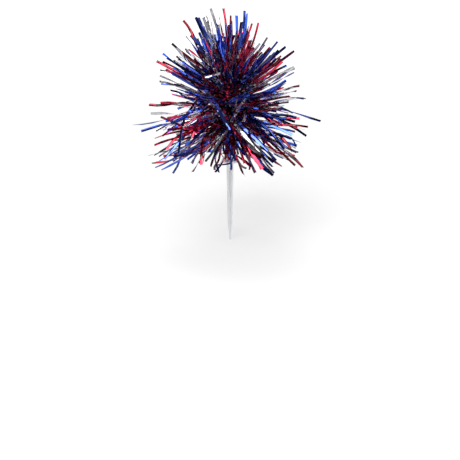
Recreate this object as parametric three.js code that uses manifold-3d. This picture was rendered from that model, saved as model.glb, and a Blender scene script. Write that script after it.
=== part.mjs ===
// Foil burst pick for a cupcake or cake: a pointed plastic stake with a stop disc, a rod pressed into its
// socket, and three comb-cut foil fringes (blue, red and silver) wound together round the rod, so that
// their strips stand out on all sides as a burst. Millimetres, +Z up. The origin is on the axis, in the
// plane of the stop disc's underside, which is the surface that the pick is pushed into. -Y is towards
// the viewer.

import * as THREE from "three";
import { mergeVertices } from "three/addons/utils/BufferGeometryUtils.js";
import Module from "manifold-3d";

const wasm = await Module();
wasm.setup();

const FULL_TURN = 2 * Math.PI;
const radians = THREE.MathUtils.degToRad;
const UP = new THREE.Vector3(0, 0, 1);

// Fits
const SEAT_GAP = 0.15; // radial clearance between a piece and the rod or bore that it seats on
const BAND_GAP = 0.35; // clear space between neighbouring turns of the wound fringes
const ROUND_SIDES = 32; // facets of a turned piece
const SAME_POINT = 1e-4; // vertices nearer than this are one

// Stake, stop disc and socket, moulded in one piece
const STAKE_LENGTH = 66;
const POINT_LENGTH = 17;
const RIB_WIDTH_AT_DISC = 6.4;
const RIB_WIDTH_AT_POINT = 4.2;
const RIB_THICKNESS = 1.5;
const POINT_WIDTH = 0.7;
const DISC_RADIUS = 6.8;
const DISC_THICKNESS = 1.8;
const DISC_EDGE = 0.4; // chamfer round the disc
const SOCKET_WALL = 1.45; // round the rod, at the disc
const SOCKET_MOUTH_WALL = 0.95;
const SOCKET_HEIGHT = 13; // above the disc
const SOCKET_FLOOR = 1; // plastic left between the disc and the rod's end
const FILLET = 1.2; // where the socket meets the disc

// Rod that carries the burst
const ROD_RADIUS = 2;
const ROD_EDGE = 0.3;
const BARE_ROD = 5; // left between the socket and the collar

// Collar under the fringes, tape under them and cap over them
const COLLAR_WALL = 1.65;
const COLLAR_HEIGHT = 3.4;
const COLLAR_EDGE = 0.5;
const TAPE_THICKNESS = 0.3;
const TAPE_MARGIN = 0.4; // tape left clear at each end of the winding
const CAP_WALL = 0.95;
const CAP_SKIRT = 2.2;
const CAP_DOME = 1.5;
const CAP_ROOF = 0.8; // plastic over the rod's end
const CAP_STANDOFF = 1.6; // bare rod between the winding and the cap

// Winding of the three fringes
const WINDING_HEIGHT = 44;
const WINDING_TURNS = 5;
const WINDING_END_BUILD = 1.4; // how thick the film lies on the tape at the ends of the winding
const WINDING_MIDDLE_BUILD = 2.9;

// Foil strips
const STRIP_WIDTH = 1.6;
const STRIP_THICKNESS = 0.24;
const STRIP_LENGTH = 47;
const LENGTH_SPREAD = 8;
const STRIP_GAP = 0.4; // least clear space between strips that lean towards each other
const STATIONS = [0.45, 1]; // shares of a strip's length at which its section is set
const ROOT_SHARE = 0.72; // width of a strip's root as a share of its pitch along the band
const LOWEST_ANGLE = -33; // degrees above the horizon, at the foot of the winding
const HIGHEST_ANGLE = 78.5; // at its head
const CROWDING = 0.5; // towards the top: 0 spreads the strips evenly, 1 sets even angles between the turns
const DROOP = 4; // how far a level strip of the usual length hangs down at its end
const TWIST = 100; // most that a strip's end is turned about its length, in degrees
const SCATTER = 0.85; // share of the room beside a strip that it may wander into
const SURFACE_CLEARANCE = 2; // height at which the lowest strips spread over the icing
const SURFACE_SOFTNESS = 2.5; // how gently they turn level there
const HELD_RADIUS = 6; // distance from the rod's axis up to which the strips stand as they are wound
const FREE_RADIUS = 36; // and from which they lie quite as they fall
const WAVE_HEIGHT = 0.8; // how far they wave to and fro
const WAVE_LENGTH = 46; // from wave to wave
const SEARCH_STEPS = 24; // in which a strip is led to its place

// Tufts into which neighbouring strips are drawn: heading and rise of each, seen from the middle of the
// winding, how far off it still works, all in degrees, the share of the way that it draws them, and by
// what share they are longer there. Those that draw nothing are hollows in the burst's outline, where the
// strips are short.
const TUFTS = [
  [180, 84, 30, 0.14, 0.03],
  [-176, 70, 12, 0.4, 0.1],
  [-8, 79, 11, 0, 0.04],
  [6, 63, 12, 0, -0.4],
  [-8, 46, 14, 0.5, 0.06],
  [-12, 28, 13, 0.5, 0.1],
  [0, 7, 13, 0, -0.24],
  [-6, -13, 14, 0.5, 0.14],
  [-20, -33, 14, 0.4, 0.14],
  [180, 55, 10, 0, -0.24],
  [178, 33, 17, 0.35, 0.12],
  [-170, 18, 13, 0.4, 0.12],
  [180, 0, 13, 0, -0.2],
  [-170, -15, 13, 0.5, 0.16],
  [-150, -33, 16, 0.4, 0.16],
  [-122, 16, 18, 0.5, 0],
  [-84, 42, 18, 0.5, 0],
  [-56, 8, 18, 0.5, 0],
  [-90, -18, 16, 0.5, 0.05],
  [-122, -30, 13, 0.4, 0.1],
  [-55, -33, 13, 0.4, 0.12],
  [60, 40, 16, 0.5, 0],
  [115, 20, 16, 0.5, 0],
  [55, -5, 16, 0.5, 0.04],
  [100, -26, 16, 0.4, 0.08],
  [130, 55, 16, 0.5, 0],
];

// Each fringe with its colour, its count of strips and the side on which its winding starts. Its
// stragglers are the strips that stand out from the rest: where the end of each one is, seen from the
// middle of the winding, as its heading and rise in degrees and its distance in STRIP_LENGTHs.
const FRINGES = [
  {
    name: "blue_foil_fringe",
    colour: 0x1c3fae,
    strips: 117,
    start: 0,
    seed: 7,
    stragglers: [
      [-34, 85, 1.55],
      [161, 78, 1.54],
      [22, 77, 1.55],
      [-98, 76, 1.46],
      [-164, 72, 1.57],
      [49, 59, 1.09],
      [156, 57, 1.35],
      [-167, 51, 1.45],
      [12, 48, 1.21],
      [7, 38, 1.29],
      [0, 29, 1.25],
      [176, 22, 1.29],
      [-153, 18, 1.09],
      [-5, 14, 1.38],
      [7, 13, 1.37],
      [5, -7, 1.08],
      [-174, -4, 1.43],
      [172, -11, 1.61],
      [-14, -16, 1.26],
      [9, -27, 1.2],
      [-18, -28, 1.28],
      [-32, -29, 1.19],
      [-145, -32, 1.31],
      [-50, -33, 1.33],
      [-159, -34, 1.41],
      [-54, -39, 1.48],
    ],
  },
  {
    name: "red_foil_fringe",
    colour: 0xa8182c,
    strips: 107,
    start: 120,
    seed: 19,
    stragglers: [
      [56, 79, 1.38],
      [-28, 76, 1.49],
      [165, 65, 1.61],
      [23, 60, 1.12],
      [0, 57, 1.14],
      [-15, 47, 1.22],
      [-15, 38, 1.22],
      [-167, 32, 1.31],
      [-160, 22, 1.22],
      [180, 2, 1.48],
      [-7, 1, 1.1],
      [-52, -20, 1.15],
      [-174, -27, 1.41],
      [-25, -31, 1.29],
      [-84, -34, 1.18],
      [-157, -35, 1.57],
      [-63, -35, 1.34],
    ],
  },
  {
    name: "silver_foil_fringe",
    colour: 0xc9ccd2,
    strips: 76,
    start: 240,
    seed: 43,
    stragglers: [
      [180, 82, 1.53],
      [-161, 42, 1.39],
      [173, 41, 1.4],
      [170, 31, 1.37],
      [13, 14, 1.34],
      [168, -9, 1.4],
      [6, -19, 1.3],
      [-64, -27, 1.22],
      [-119, -37, 1.22],
      [-113, -38, 1.22],
    ],
  },
];

const CLEAR_PLASTIC = new THREE.MeshStandardMaterial({ color: 0xf1f3f4, roughness: 0.3, metalness: 0 });
const WHITE_PLASTIC = new THREE.MeshStandardMaterial({ color: 0xf7f7f5, roughness: 0.4, metalness: 0 });
const TAPE = new THREE.MeshStandardMaterial({ color: 0xe9e4d4, roughness: 0.6, metalness: 0 });

// Radii and heights that follow from the sizes above
const boreRadius = ROD_RADIUS + SEAT_GAP;
const tapeRadius = boreRadius + TAPE_THICKNESS;
const bandInnerRadius = tapeRadius + SEAT_GAP;
const socketFloorZ = DISC_THICKNESS + SOCKET_FLOOR;
const socketTopZ = DISC_THICKNESS + SOCKET_HEIGHT;
const collarBottomZ = socketTopZ + BARE_ROD;
const windingBottomZ = collarBottomZ + COLLAR_HEIGHT + SEAT_GAP;
const windingMiddleZ = windingBottomZ + WINDING_HEIGHT / 2;
const windingTopZ = windingBottomZ + WINDING_HEIGHT;
const rodTopZ = windingTopZ + CAP_STANDOFF + CAP_SKIRT;
const windingPitch = (WINDING_HEIGHT + BAND_GAP) / (WINDING_TURNS + 1 / FRINGES.length);
const bandHeight = windingPitch / FRINGES.length - BAND_GAP;

// Repeatable numbers, so that every build cuts and spreads the strips alike.
class Dice {
  constructor(seed) {
    this.state = seed;
  }
  next() {
    this.state = (Math.imul(this.state, 1664525) + 1013904223) >>> 0;
    return this.state / 2 ** 32;
  }
  between(low, high) {
    return low + (high - low) * this.next();
  }
}

// A closed solid from any closed three.js geometry.
function solidOf(geometry) {
  const bare = geometry.clone();
  bare.deleteAttribute("normal");
  bare.deleteAttribute("uv");
  const merged = mergeVertices(bare, SAME_POINT);
  return new wasm.Manifold(
    new wasm.Mesh({
      numProp: 3,
      vertProperties: merged.attributes.position.array,
      triVerts: new Uint32Array(merged.index.array),
    }),
  );
}

function geometryOf(solid) {
  const mesh = solid.getMesh();
  return new THREE.BufferGeometry()
    .setAttribute("position", new THREE.BufferAttribute(mesh.vertProperties, 3))
    .setIndex(new THREE.BufferAttribute(mesh.triVerts, 1));
}

// Turns a profile of [radius, height] points about the Z axis. A profile with a bore closes on its first
// point.
function turned(profile, bored = false) {
  const points = bored ? [...profile, profile[0]] : profile;
  return new THREE.LatheGeometry(
    points.map(([radius, height]) => new THREE.Vector2(radius, height)),
    ROUND_SIDES,
  ).rotateX(Math.PI / 2);
}

function named(name, geometry, material) {
  const mesh = new THREE.Mesh(geometry, material);
  mesh.name = name;
  return mesh;
}

// One flat rib of the stake, tapering down to the point, in the XZ plane.
function stakeRib() {
  const half = RIB_WIDTH_AT_DISC / 2;
  const low = RIB_WIDTH_AT_POINT / 2;
  const shoulder = POINT_LENGTH - STAKE_LENGTH;
  const overlap = DISC_THICKNESS / 2;
  const outline = new THREE.Shape([
    new THREE.Vector2(-half, overlap),
    new THREE.Vector2(-half, 0),
    new THREE.Vector2(-low, shoulder),
    new THREE.Vector2(-POINT_WIDTH / 2, -STAKE_LENGTH),
    new THREE.Vector2(POINT_WIDTH / 2, -STAKE_LENGTH),
    new THREE.Vector2(low, shoulder),
    new THREE.Vector2(half, 0),
    new THREE.Vector2(half, overlap),
  ]);
  return new THREE.ExtrudeGeometry(outline, { depth: RIB_THICKNESS, bevelEnabled: false })
    .translate(0, 0, -RIB_THICKNESS / 2)
    .rotateX(Math.PI / 2);
}

function pickStake() {
  const filletSteps = 4;
  const fillet = Array.from({ length: filletSteps + 1 }, (_, step) => {
    const angle = (Math.PI / 2) * (step / filletSteps);
    return [
      boreRadius + SOCKET_WALL + FILLET * (1 - Math.sin(angle)),
      DISC_THICKNESS + FILLET * (1 - Math.cos(angle)),
    ];
  });
  const body = turned([
    [0, 0],
    [DISC_RADIUS - DISC_EDGE, 0],
    [DISC_RADIUS, DISC_EDGE],
    [DISC_RADIUS, DISC_THICKNESS - DISC_EDGE],
    [DISC_RADIUS - DISC_EDGE, DISC_THICKNESS],
    ...fillet,
    [boreRadius + SOCKET_MOUTH_WALL, socketTopZ],
    [boreRadius, socketTopZ],
    [boreRadius, socketFloorZ],
    [0, socketFloorZ],
  ]);
  const rib = solidOf(stakeRib());
  const crossed = rib.add(rib.rotate([0, 0, 90])).rotate([0, 0, 45]);
  return named("pick_stake", geometryOf(solidOf(body).add(crossed)), CLEAR_PLASTIC);
}

function coreRod() {
  const rod = turned([
    [0, socketFloorZ],
    [ROD_RADIUS - ROD_EDGE, socketFloorZ],
    [ROD_RADIUS, socketFloorZ + ROD_EDGE],
    [ROD_RADIUS, rodTopZ - ROD_EDGE],
    [ROD_RADIUS - ROD_EDGE, rodTopZ],
    [0, rodTopZ],
  ]);
  return named("core_rod", rod, CLEAR_PLASTIC);
}

function lowerCollar() {
  const radius = boreRadius + COLLAR_WALL;
  const top = collarBottomZ + COLLAR_HEIGHT;
  const collar = turned(
    [
      [boreRadius, collarBottomZ],
      [radius - COLLAR_EDGE, collarBottomZ],
      [radius, collarBottomZ + COLLAR_EDGE],
      [radius, top],
      [boreRadius, top],
    ],
    true,
  );
  return named("lower_collar", collar, WHITE_PLASTIC);
}

function adhesiveTape() {
  const bottom = windingBottomZ + TAPE_MARGIN;
  const top = windingTopZ - TAPE_MARGIN;
  const tape = turned(
    [
      [boreRadius, bottom],
      [tapeRadius, bottom],
      [tapeRadius, top],
      [boreRadius, top],
    ],
    true,
  );
  return named("adhesive_tape", tape, TAPE);
}

function topCap() {
  const domeSteps = 6;
  const radius = boreRadius + CAP_WALL;
  const skirtTop = rodTopZ + CAP_ROOF - CAP_DOME;
  const dome = Array.from({ length: domeSteps + 1 }, (_, step) => {
    const angle = (Math.PI / 2) * (step / domeSteps);
    return [radius * Math.cos(angle), skirtTop + CAP_DOME * Math.sin(angle)];
  });
  dome[domeSteps][0] = 0;
  const cap = turned([
    [0, rodTopZ],
    [boreRadius, rodTopZ],
    [boreRadius, rodTopZ - CAP_SKIRT],
    [radius, rodTopZ - CAP_SKIRT],
    ...dome,
  ]);
  return named("top_cap", cap, WHITE_PLASTIC);
}

// Axes of the cylinder at an angle round the rod: outwards and along the winding.
function axesAt(angle) {
  return {
    outward: new THREE.Vector3(Math.cos(angle), Math.sin(angle), 0),
    along: new THREE.Vector3(-Math.sin(angle), Math.cos(angle), 0),
  };
}

// The direction with a heading round the rod and a rise above the horizon.
function pointing(heading, rise) {
  return axesAt(heading).outward.multiplyScalar(Math.cos(rise)).addScaledVector(UP, Math.sin(rise));
}

// Angle, height and outer radius of a fringe's band at a share of the way up its winding.
function bandAt(fringe, share) {
  const build = THREE.MathUtils.lerp(WINDING_MIDDLE_BUILD, WINDING_END_BUILD, (2 * share - 1) ** 2);
  return {
    angle: radians(fringe.start) + FULL_TURN * WINDING_TURNS * share,
    height: windingBottomZ + bandHeight / 2 + share * (WINDING_HEIGHT - bandHeight),
    radius: bandInnerRadius + build,
  };
}

// Angle above the horizon of the strips at a share of the way up the winding. Where its sine climbs
// evenly, the strips are spread evenly over the burst, and where the angle does, they crowd towards its
// top.
function riseAt(share) {
  const { clamp, lerp } = THREE.MathUtils;
  const held = clamp(share, 0, 1);
  const lowest = radians(LOWEST_ANGLE);
  const highest = radians(HIGHEST_ANGLE);
  const even = Math.asin(lerp(Math.sin(lowest), Math.sin(highest), held));
  return lerp(even, lerp(lowest, highest, held), CROWDING);
}

// A strip as it would stand if the burst were quite regular: its root, its direction and the two directions
// across it, with the room that it has each way before it would meet the next strip.
function regularStrip(fringe, share, length) {
  const { angle, height, radius } = bandAt(fringe, share);
  const { outward, along } = axesAt(angle);
  const rise = riseAt(share);
  const direction = pointing(angle, rise);
  const spoke = radius + length * Math.cos(rise);
  const pitch = (spoke * FULL_TURN * WINDING_TURNS) / fringe.strips;
  const row = 1 / (FRINGES.length * WINDING_TURNS);
  const rowHeight = (length * (riseAt(share + row) - riseAt(share - row))) / 2;
  const roomIn = (space) => (Math.max(0, space - STRIP_WIDTH - STRIP_GAP) / 2) * SCATTER;
  return {
    root: outward.clone().multiplyScalar(radius).setZ(height),
    direction,
    along,
    over: direction.clone().cross(along),
    sideRoom: roomIn(pitch),
    riseRoom: roomIn(rowHeight),
    droop: DROOP * Math.cos(rise) * (length / STRIP_LENGTH) ** 2,
  };
}

// Bends a height that would lie under the icing softly up to just over it.
function settled(height) {
  return (
    SURFACE_CLEARANCE +
    SURFACE_SOFTNESS * Math.log1p(Math.exp((height - SURFACE_CLEARANCE) / SURFACE_SOFTNESS))
  );
}

// Moves a point as the strips lie in reality: in waves, drawn into tufts, and clear of the icing. The
// shift is the same for all that passes a place, so strips that don't cross before don't cross after.
function ruffled(point) {
  const { clamp } = THREE.MathUtils;
  const held = new THREE.Vector3(0, 0, clamp(point.z, windingBottomZ, windingTopZ));
  const free = clamp((point.distanceTo(held) - HELD_RADIUS) / (FREE_RADIUS - HELD_RADIUS), 0, 1);
  const middle = new THREE.Vector3(0, 0, windingMiddleZ);
  const away = point.clone().sub(middle);
  const { x, y, z } = away.clone().multiplyScalar(FULL_TURN / WAVE_LENGTH);
  const wave = new THREE.Vector3(
    Math.sin(z) + Math.cos(y),
    Math.sin(x) + Math.cos(z),
    Math.sin(y) + Math.cos(x),
  );
  away.addScaledVector(wave, free * WAVE_HEIGHT);
  const reach = away.length();
  const direction = away.clone().normalize();
  const drawn = direction.clone();
  let growth = 1;
  for (const [heading, rise, width, pull, longer] of TUFTS) {
    const aim = pointing(radians(heading), radians(rise)).sub(direction);
    const near = Math.exp(-aim.lengthSq() / radians(width) ** 2);
    drawn.addScaledVector(aim, free * pull * near);
    growth += free * longer * near;
  }
  const moved = drawn.normalize().multiplyScalar(reach * growth).add(middle);
  return moved.setZ(settled(moved.z));
}

// The place from which ruffling moves a point to a given end, found by turning and scaling a first guess.
function beforeRuffling(end) {
  const middle = new THREE.Vector3(0, 0, windingMiddleZ);
  const aim = end.clone().sub(middle);
  const away = aim.clone();
  for (let step = 0; step < SEARCH_STEPS; step += 1) {
    const reached = ruffled(away.clone().add(middle)).sub(middle);
    const length = (away.length() * aim.length()) / reached.length();
    const turned = away.normalize().add(aim.clone().normalize()).sub(reached.normalize());
    away.copy(turned.setLength(length));
  }
  return away.add(middle);
}

// Chooses, for each straggler of a fringe, the strip that already points nearest to it. Kept for that strip
// are where its end would lie without ruffling, and the length that takes it as far out as it is seen.
function stragglersByStrip(fringe) {
  const chosen = new Map();
  const middle = new THREE.Vector3(0, 0, windingMiddleZ);
  for (const [heading, rise, reach] of fringe.stragglers) {
    const seen = pointing(radians(heading), radians(rise)).multiplyScalar(STRIP_LENGTH * reach).add(middle);
    seen.setZ(settled(seen.z));
    const end = beforeRuffling(seen);
    let nearest = { distance: Infinity };
    for (let strip = 0; strip < fringe.strips; strip += 1) {
      const share = (strip + 0.5) / fringe.strips;
      const { root, direction } = regularStrip(fringe, share, STRIP_LENGTH);
      const away = end.distanceTo(root);
      const distance = root.clone().addScaledVector(direction, away).distanceTo(end);
      if (distance < nearest.distance && !chosen.has(strip)) {
        nearest = { strip, distance, root, direction };
      }
    }
    const { strip, root, direction } = nearest;
    let length = end.distanceTo(root);
    for (let step = 0; step < SEARCH_STEPS; step += 1) {
      const reached = ruffled(root.clone().addScaledVector(direction, length));
      length *= seen.distanceTo(middle) / reached.distanceTo(middle);
    }
    chosen.set(strip, { end, length });
  }
  return chosen;
}

// The line that one strip follows from its root, and how its flat side turns on the way. A straggler is
// led towards its place, and any other strip wanders at random. Neither leaves its own room, so no two
// strips cross.
function stripPath(fringe, share, straggler, dice) {
  const { clamp, lerp } = THREE.MathUtils;
  let length = STRIP_LENGTH + dice.between(-LENGTH_SPREAD, LENGTH_SPREAD);
  let sideways = dice.between(-1, 1);
  let upwards = dice.between(-1, 1);
  const curl = dice.next();
  const twist = radians(TWIST) * dice.between(-1, 1);
  if (straggler) {
    length = straggler.length;
    const strip = regularStrip(fringe, share, length);
    const miss = straggler.end.clone().sub(strip.root);
    miss.addScaledVector(strip.direction, -miss.dot(strip.direction));
    miss.z += strip.droop;
    sideways = clamp(miss.dot(strip.along) / Math.max(strip.sideRoom, STRIP_GAP), -1, 1);
    upwards = clamp(miss.dot(strip.over) / Math.max(strip.riseRoom, STRIP_GAP), -1, 1);
  }
  const { root, direction, along, over, sideRoom, riseRoom, droop } = regularStrip(fringe, share, length);
  const at = (s) => {
    const wander = lerp(s, s * s, curl);
    const point = root
      .clone()
      .addScaledVector(direction, length * s)
      .addScaledVector(along, sideRoom * sideways * wander)
      .addScaledVector(over, riseRoom * upwards * wander)
      .addScaledVector(UP, -droop * s * s);
    return ruffled(point);
  };
  const step = 0.01;
  return { at, along: (s) => at(s).sub(at(s - step)).normalize(), side: along, twist };
}

// The four corners of a strip's section at s, in the order that its root has on the band.
function stripSection(path, s) {
  const forward = path.along(s);
  const flat = path.side.clone().addScaledVector(forward, -forward.dot(path.side)).normalize();
  flat.applyAxisAngle(forward, path.twist * s);
  const normal = forward.clone().cross(flat);
  const centre = path.at(s);
  return [
    [-1, -1],
    [1, -1],
    [1, 1],
    [-1, 1],
  ].map(([across, over]) =>
    centre
      .clone()
      .addScaledVector(flat, (across * STRIP_WIDTH) / 2)
      .addScaledVector(normal, (over * STRIP_THICKNESS) / 2),
  );
}

// A fringe: a helical band of triangular section, with its point on the tape, whose outer face grows a
// strip on every other step. The strips and the band are one closed surface, as the cut and uncut foil
// are.
function foilFringe(fringe) {
  const vertices = [];
  const triangles = [];
  const dice = new Dice(fringe.seed);
  const add = (point) => vertices.push(point.x, point.y, point.z) / 3 - 1;
  const quad = (a, b, c, d) => triangles.push(a, b, c, a, c, d);

  const rootWidth = ROOT_SHARE / fringe.strips;
  const edges = [];
  for (let strip = 0; strip < fringe.strips; strip += 1) {
    const middle = (strip + 0.5) / fringe.strips;
    edges.push(middle - rootWidth / 2, middle + rootWidth / 2);
  }
  const stragglers = stragglersByStrip(fringe);
  const sections = edges.map((share) => {
    const { angle, height, radius } = bandAt(fringe, share);
    const { outward } = axesAt(angle);
    return {
      inner: add(outward.clone().multiplyScalar(bandInnerRadius).setZ(height)),
      low: add(outward.clone().multiplyScalar(radius).setZ(height - bandHeight / 2)),
      high: add(outward.clone().multiplyScalar(radius).setZ(height + bandHeight / 2)),
    };
  });

  const first = sections[0];
  const last = sections.at(-1);
  triangles.push(first.inner, first.low, first.high, last.inner, last.high, last.low);
  for (let step = 0; step + 1 < sections.length; step += 1) {
    const here = sections[step];
    const next = sections[step + 1];
    quad(here.inner, here.high, next.high, next.inner);
    quad(here.inner, next.inner, next.low, here.low);
    if (step % 2 === 1) {
      quad(here.low, next.low, next.high, here.high);
      continue;
    }
    const middle = (edges[step] + edges[step + 1]) / 2;
    const path = stripPath(fringe, middle, stragglers.get(step / 2), dice);
    let ring = [here.low, next.low, next.high, here.high];
    for (const s of STATIONS) {
      const nextRing = stripSection(path, s).map(add);
      // Opposite sides fold along the same diagonal, so that a twisted strip keeps its thickness.
      ring.forEach((corner, side) => {
        const other = (side + 1) % ring.length;
        if (side < 2) {
          quad(corner, ring[other], nextRing[other], nextRing[side]);
        } else {
          quad(ring[other], nextRing[other], nextRing[side], corner);
        }
      });
      ring = nextRing;
    }
    quad(...ring);
  }

  const geometry = new THREE.BufferGeometry()
    .setAttribute("position", new THREE.Float32BufferAttribute(vertices, 3))
    .setIndex(triangles);
  geometry.computeVertexNormals();
  const foil = new THREE.MeshStandardMaterial({ color: fringe.colour, roughness: 0.2, metalness: 1 });
  return named(fringe.name, geometry, foil);
}

const pick = new THREE.Group();
pick.add(pickStake(), coreRod(), lowerCollar(), adhesiveTape(), topCap(), ...FRINGES.map(foilFringe));

export default pick;
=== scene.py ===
"""Foil burst pick: three comb-cut foil fringes wound round a rod, on a pointed stake with a stop disc.

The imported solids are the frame. The film of the three fringes is modelled here strip by strip along the
lines of the solids' strips, with further loose strips between them. The stake, rod, collar, tape and cap are
modelled with their rounded edges.
"""

import logging
import math
from collections.abc import Callable, Iterator
from contextlib import contextmanager
from dataclasses import dataclass, field
from enum import Enum
from typing import Any

import bmesh
import bpy
import numpy as np
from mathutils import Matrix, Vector


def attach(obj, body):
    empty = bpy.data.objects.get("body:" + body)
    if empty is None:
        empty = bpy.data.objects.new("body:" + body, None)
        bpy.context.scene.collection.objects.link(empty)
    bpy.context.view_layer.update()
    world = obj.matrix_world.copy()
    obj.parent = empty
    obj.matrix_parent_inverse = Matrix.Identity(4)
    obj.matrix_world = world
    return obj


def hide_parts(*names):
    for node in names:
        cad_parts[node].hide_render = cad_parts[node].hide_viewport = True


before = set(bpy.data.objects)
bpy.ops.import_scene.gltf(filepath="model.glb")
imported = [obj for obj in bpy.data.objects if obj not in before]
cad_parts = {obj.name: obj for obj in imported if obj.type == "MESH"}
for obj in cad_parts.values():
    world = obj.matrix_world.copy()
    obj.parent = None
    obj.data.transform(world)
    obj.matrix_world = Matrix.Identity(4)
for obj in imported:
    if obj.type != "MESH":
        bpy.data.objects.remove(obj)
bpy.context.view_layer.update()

log = logging.getLogger("foil_burst_pick")

Triple = tuple[float, float, float]
Colour = Triple

MM = 0.001
FULL_TURN = 2 * math.pi
WHITE = (1.0, 1.0, 1.0, 1.0)

# A face looks up or down if at least this much of its normal is along the Z axis
UPRIGHT = 0.99

# Plastic is shaded smooth over edges below this angle in degrees, and small roundings have this many faces
SMOOTH_BELOW = 40.0
EDGE_STEPS = 3

# Direction from the burst to the camera, and the turns in radians about a strip's length that are tried on it
TO_VIEWER = np.array([0.0, -0.974, 0.226])
TURNS_TRIED = np.arange(-1.4, 1.4, 0.05)

# Factor and shift that make a further seed of a fringe's own: for what is loose, and for what lies flat
LOOSE_SEED = (977, 5)
FLAT_SEED = (31, 3)


# Shader nodes


class Wire:
    """One output of a shader node. Arithmetic on wires adds the Math nodes that do it."""

    def __init__(self, graph: "Graph", socket: bpy.types.NodeSocket) -> None:
        """Keeps the node tree and the socket that the wire starts from."""
        self.graph = graph
        self.socket = socket

    def _maths(self, operation: str, *values: "Wire | float") -> "Wire":
        """Adds one Math node and returns its output."""
        return self.graph.node("ShaderNodeMath", {"operation": operation}, dict(enumerate(values)))[0]

    def __add__(self, other: "Wire | float") -> "Wire":
        """Returns self + other."""
        return self._maths("ADD", self, other)

    __radd__ = __add__

    def __sub__(self, other: "Wire | float") -> "Wire":
        """Returns self - other."""
        return self._maths("SUBTRACT", self, other)

    def __rsub__(self, other: float) -> "Wire":
        """Returns other - self."""
        return self._maths("SUBTRACT", other, self)

    def __mul__(self, other: "Wire | float") -> "Wire":
        """Returns self * other."""
        return self._maths("MULTIPLY", self, other)

    __rmul__ = __mul__

    def step(self, low: float, high: float) -> "Wire":
        """Rises smoothly from 0 where the value is low to 1 where it is high.

        Args:
            low: Value below which the result is 0.
            high: Value above which the result is 1.

        Returns:
            The smoothed value.
        """
        node = self.graph.node(
            "ShaderNodeMapRange",
            {"interpolation_type": "SMOOTHSTEP"},
            {"Value": self, "From Min": low, "From Max": high, "To Min": 0.0, "To Max": 1.0},
        )
        return node[0]


class Unit:
    """A placed shader node, whose outputs are read by name or number."""

    def __init__(self, graph: "Graph", node: bpy.types.Node) -> None:
        """Keeps the node tree and the node."""
        self.graph = graph
        self.node = node

    def __getitem__(self, output: str | int) -> Wire:
        """Returns the wire that starts from one output."""
        return Wire(self.graph, self.node.outputs[output])


class Graph:
    """The node tree of one material or of the world."""

    def __init__(self, tree: bpy.types.NodeTree) -> None:
        """Empties the tree.

        Args:
            tree: Node tree of a material or world.
        """
        self.tree = tree
        tree.nodes.clear()

    def node(
        self,
        kind: str,
        settings: dict[str, Any] | None = None,
        inputs: dict[str | int, Any] | None = None,
    ) -> Unit:
        """Adds a node.

        Args:
            kind: Blender's type name of the node.
            settings: Properties, set first.
            inputs: Value or wire of each socket, by the socket's name or number.

        Returns:
            The placed node.
        """
        made = self.tree.nodes.new(kind)
        for name, value in (settings or {}).items():
            setattr(made, name, value)
        for name, value in (inputs or {}).items():
            socket = made.inputs[name]
            if isinstance(value, Wire):
                self.tree.links.new(value.socket, socket)
            else:
                socket.default_value = value
        return Unit(self, made)

    def blend(self, share: Wire, first: Wire | Colour, second: Wire | Colour) -> Wire:
        """Mixes two colours.

        Args:
            share: Share of the second colour.
            first: Colour where the share is 0.
            second: Colour where the share is 1.

        Returns:
            The mixed colour.
        """
        colours = {
            socket: value if isinstance(value, Wire) else (*value, 1.0)
            for socket, value in ((6, first), (7, second))
        }
        return self.node("ShaderNodeMix", {"data_type": "RGBA"}, {0: share, **colours})[2]

    def shaded(self, colour: Wire, level: Wire) -> Wire:
        """Multiplies a colour by a level.

        Args:
            colour: The colour.
            level: How much of it is left, 1 for all.

        Returns:
            The lighter or darker colour.
        """
        return self.node("ShaderNodeVectorMath", {"operation": "SCALE"}, {0: colour, "Scale": level})[0]

    def noise(self, place: Wire, scale: float, detail: float = 2.0, roughness: float = 0.5) -> Wire:
        """Adds a noise texture.

        Args:
            place: Coordinates that it reads.
            scale: Its scale.
            detail: How many finer layers it has.
            roughness: How strong these are.

        Returns:
            The noise's value, about 0.5 on the average.
        """
        values = {"Vector": place, "Scale": scale, "Detail": detail, "Roughness": roughness}
        return self.node("ShaderNodeTexNoise", None, values)[0]

    def stretched(self, place: Wire, scale: Triple) -> Wire:
        """Scales coordinates differently along their axes.

        Args:
            place: Coordinates.
            scale: Scale along each axis.

        Returns:
            The scaled coordinates.
        """
        return self.node("ShaderNodeMapping", None, {"Vector": place, "Scale": scale})[0]

    def parts_of(self, vector: Wire) -> Unit:
        """Splits a vector into its X, Y and Z."""
        return self.node("ShaderNodeSeparateXYZ", None, {"Vector": vector})

    def bump(self, height: Wire, depth: float, strength: float) -> Wire:
        """Turns a height into a normal.

        Args:
            height: Height from 0 to 1.
            depth: Depth in metres that a height of 1 stands for.
            strength: Share of the effect.

        Returns:
            The normal.
        """
        values = {"Height": height, "Distance": depth, "Strength": strength}
        return self.node("ShaderNodeBump", None, values)[0]


def new_material(name: str) -> tuple[bpy.types.Material, Graph]:
    """Makes an empty material.

    Args:
        name: Its name.

    Returns:
        The material and its graph.
    """
    material = bpy.data.materials.new(name)
    material.use_nodes = True
    return material, Graph(material.node_tree)


def surface_from(graph: Graph, shader: Wire) -> None:
    """Makes a shader the surface of a material."""
    graph.node("ShaderNodeOutputMaterial", None, {"Surface": shader})


# Finishes


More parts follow.
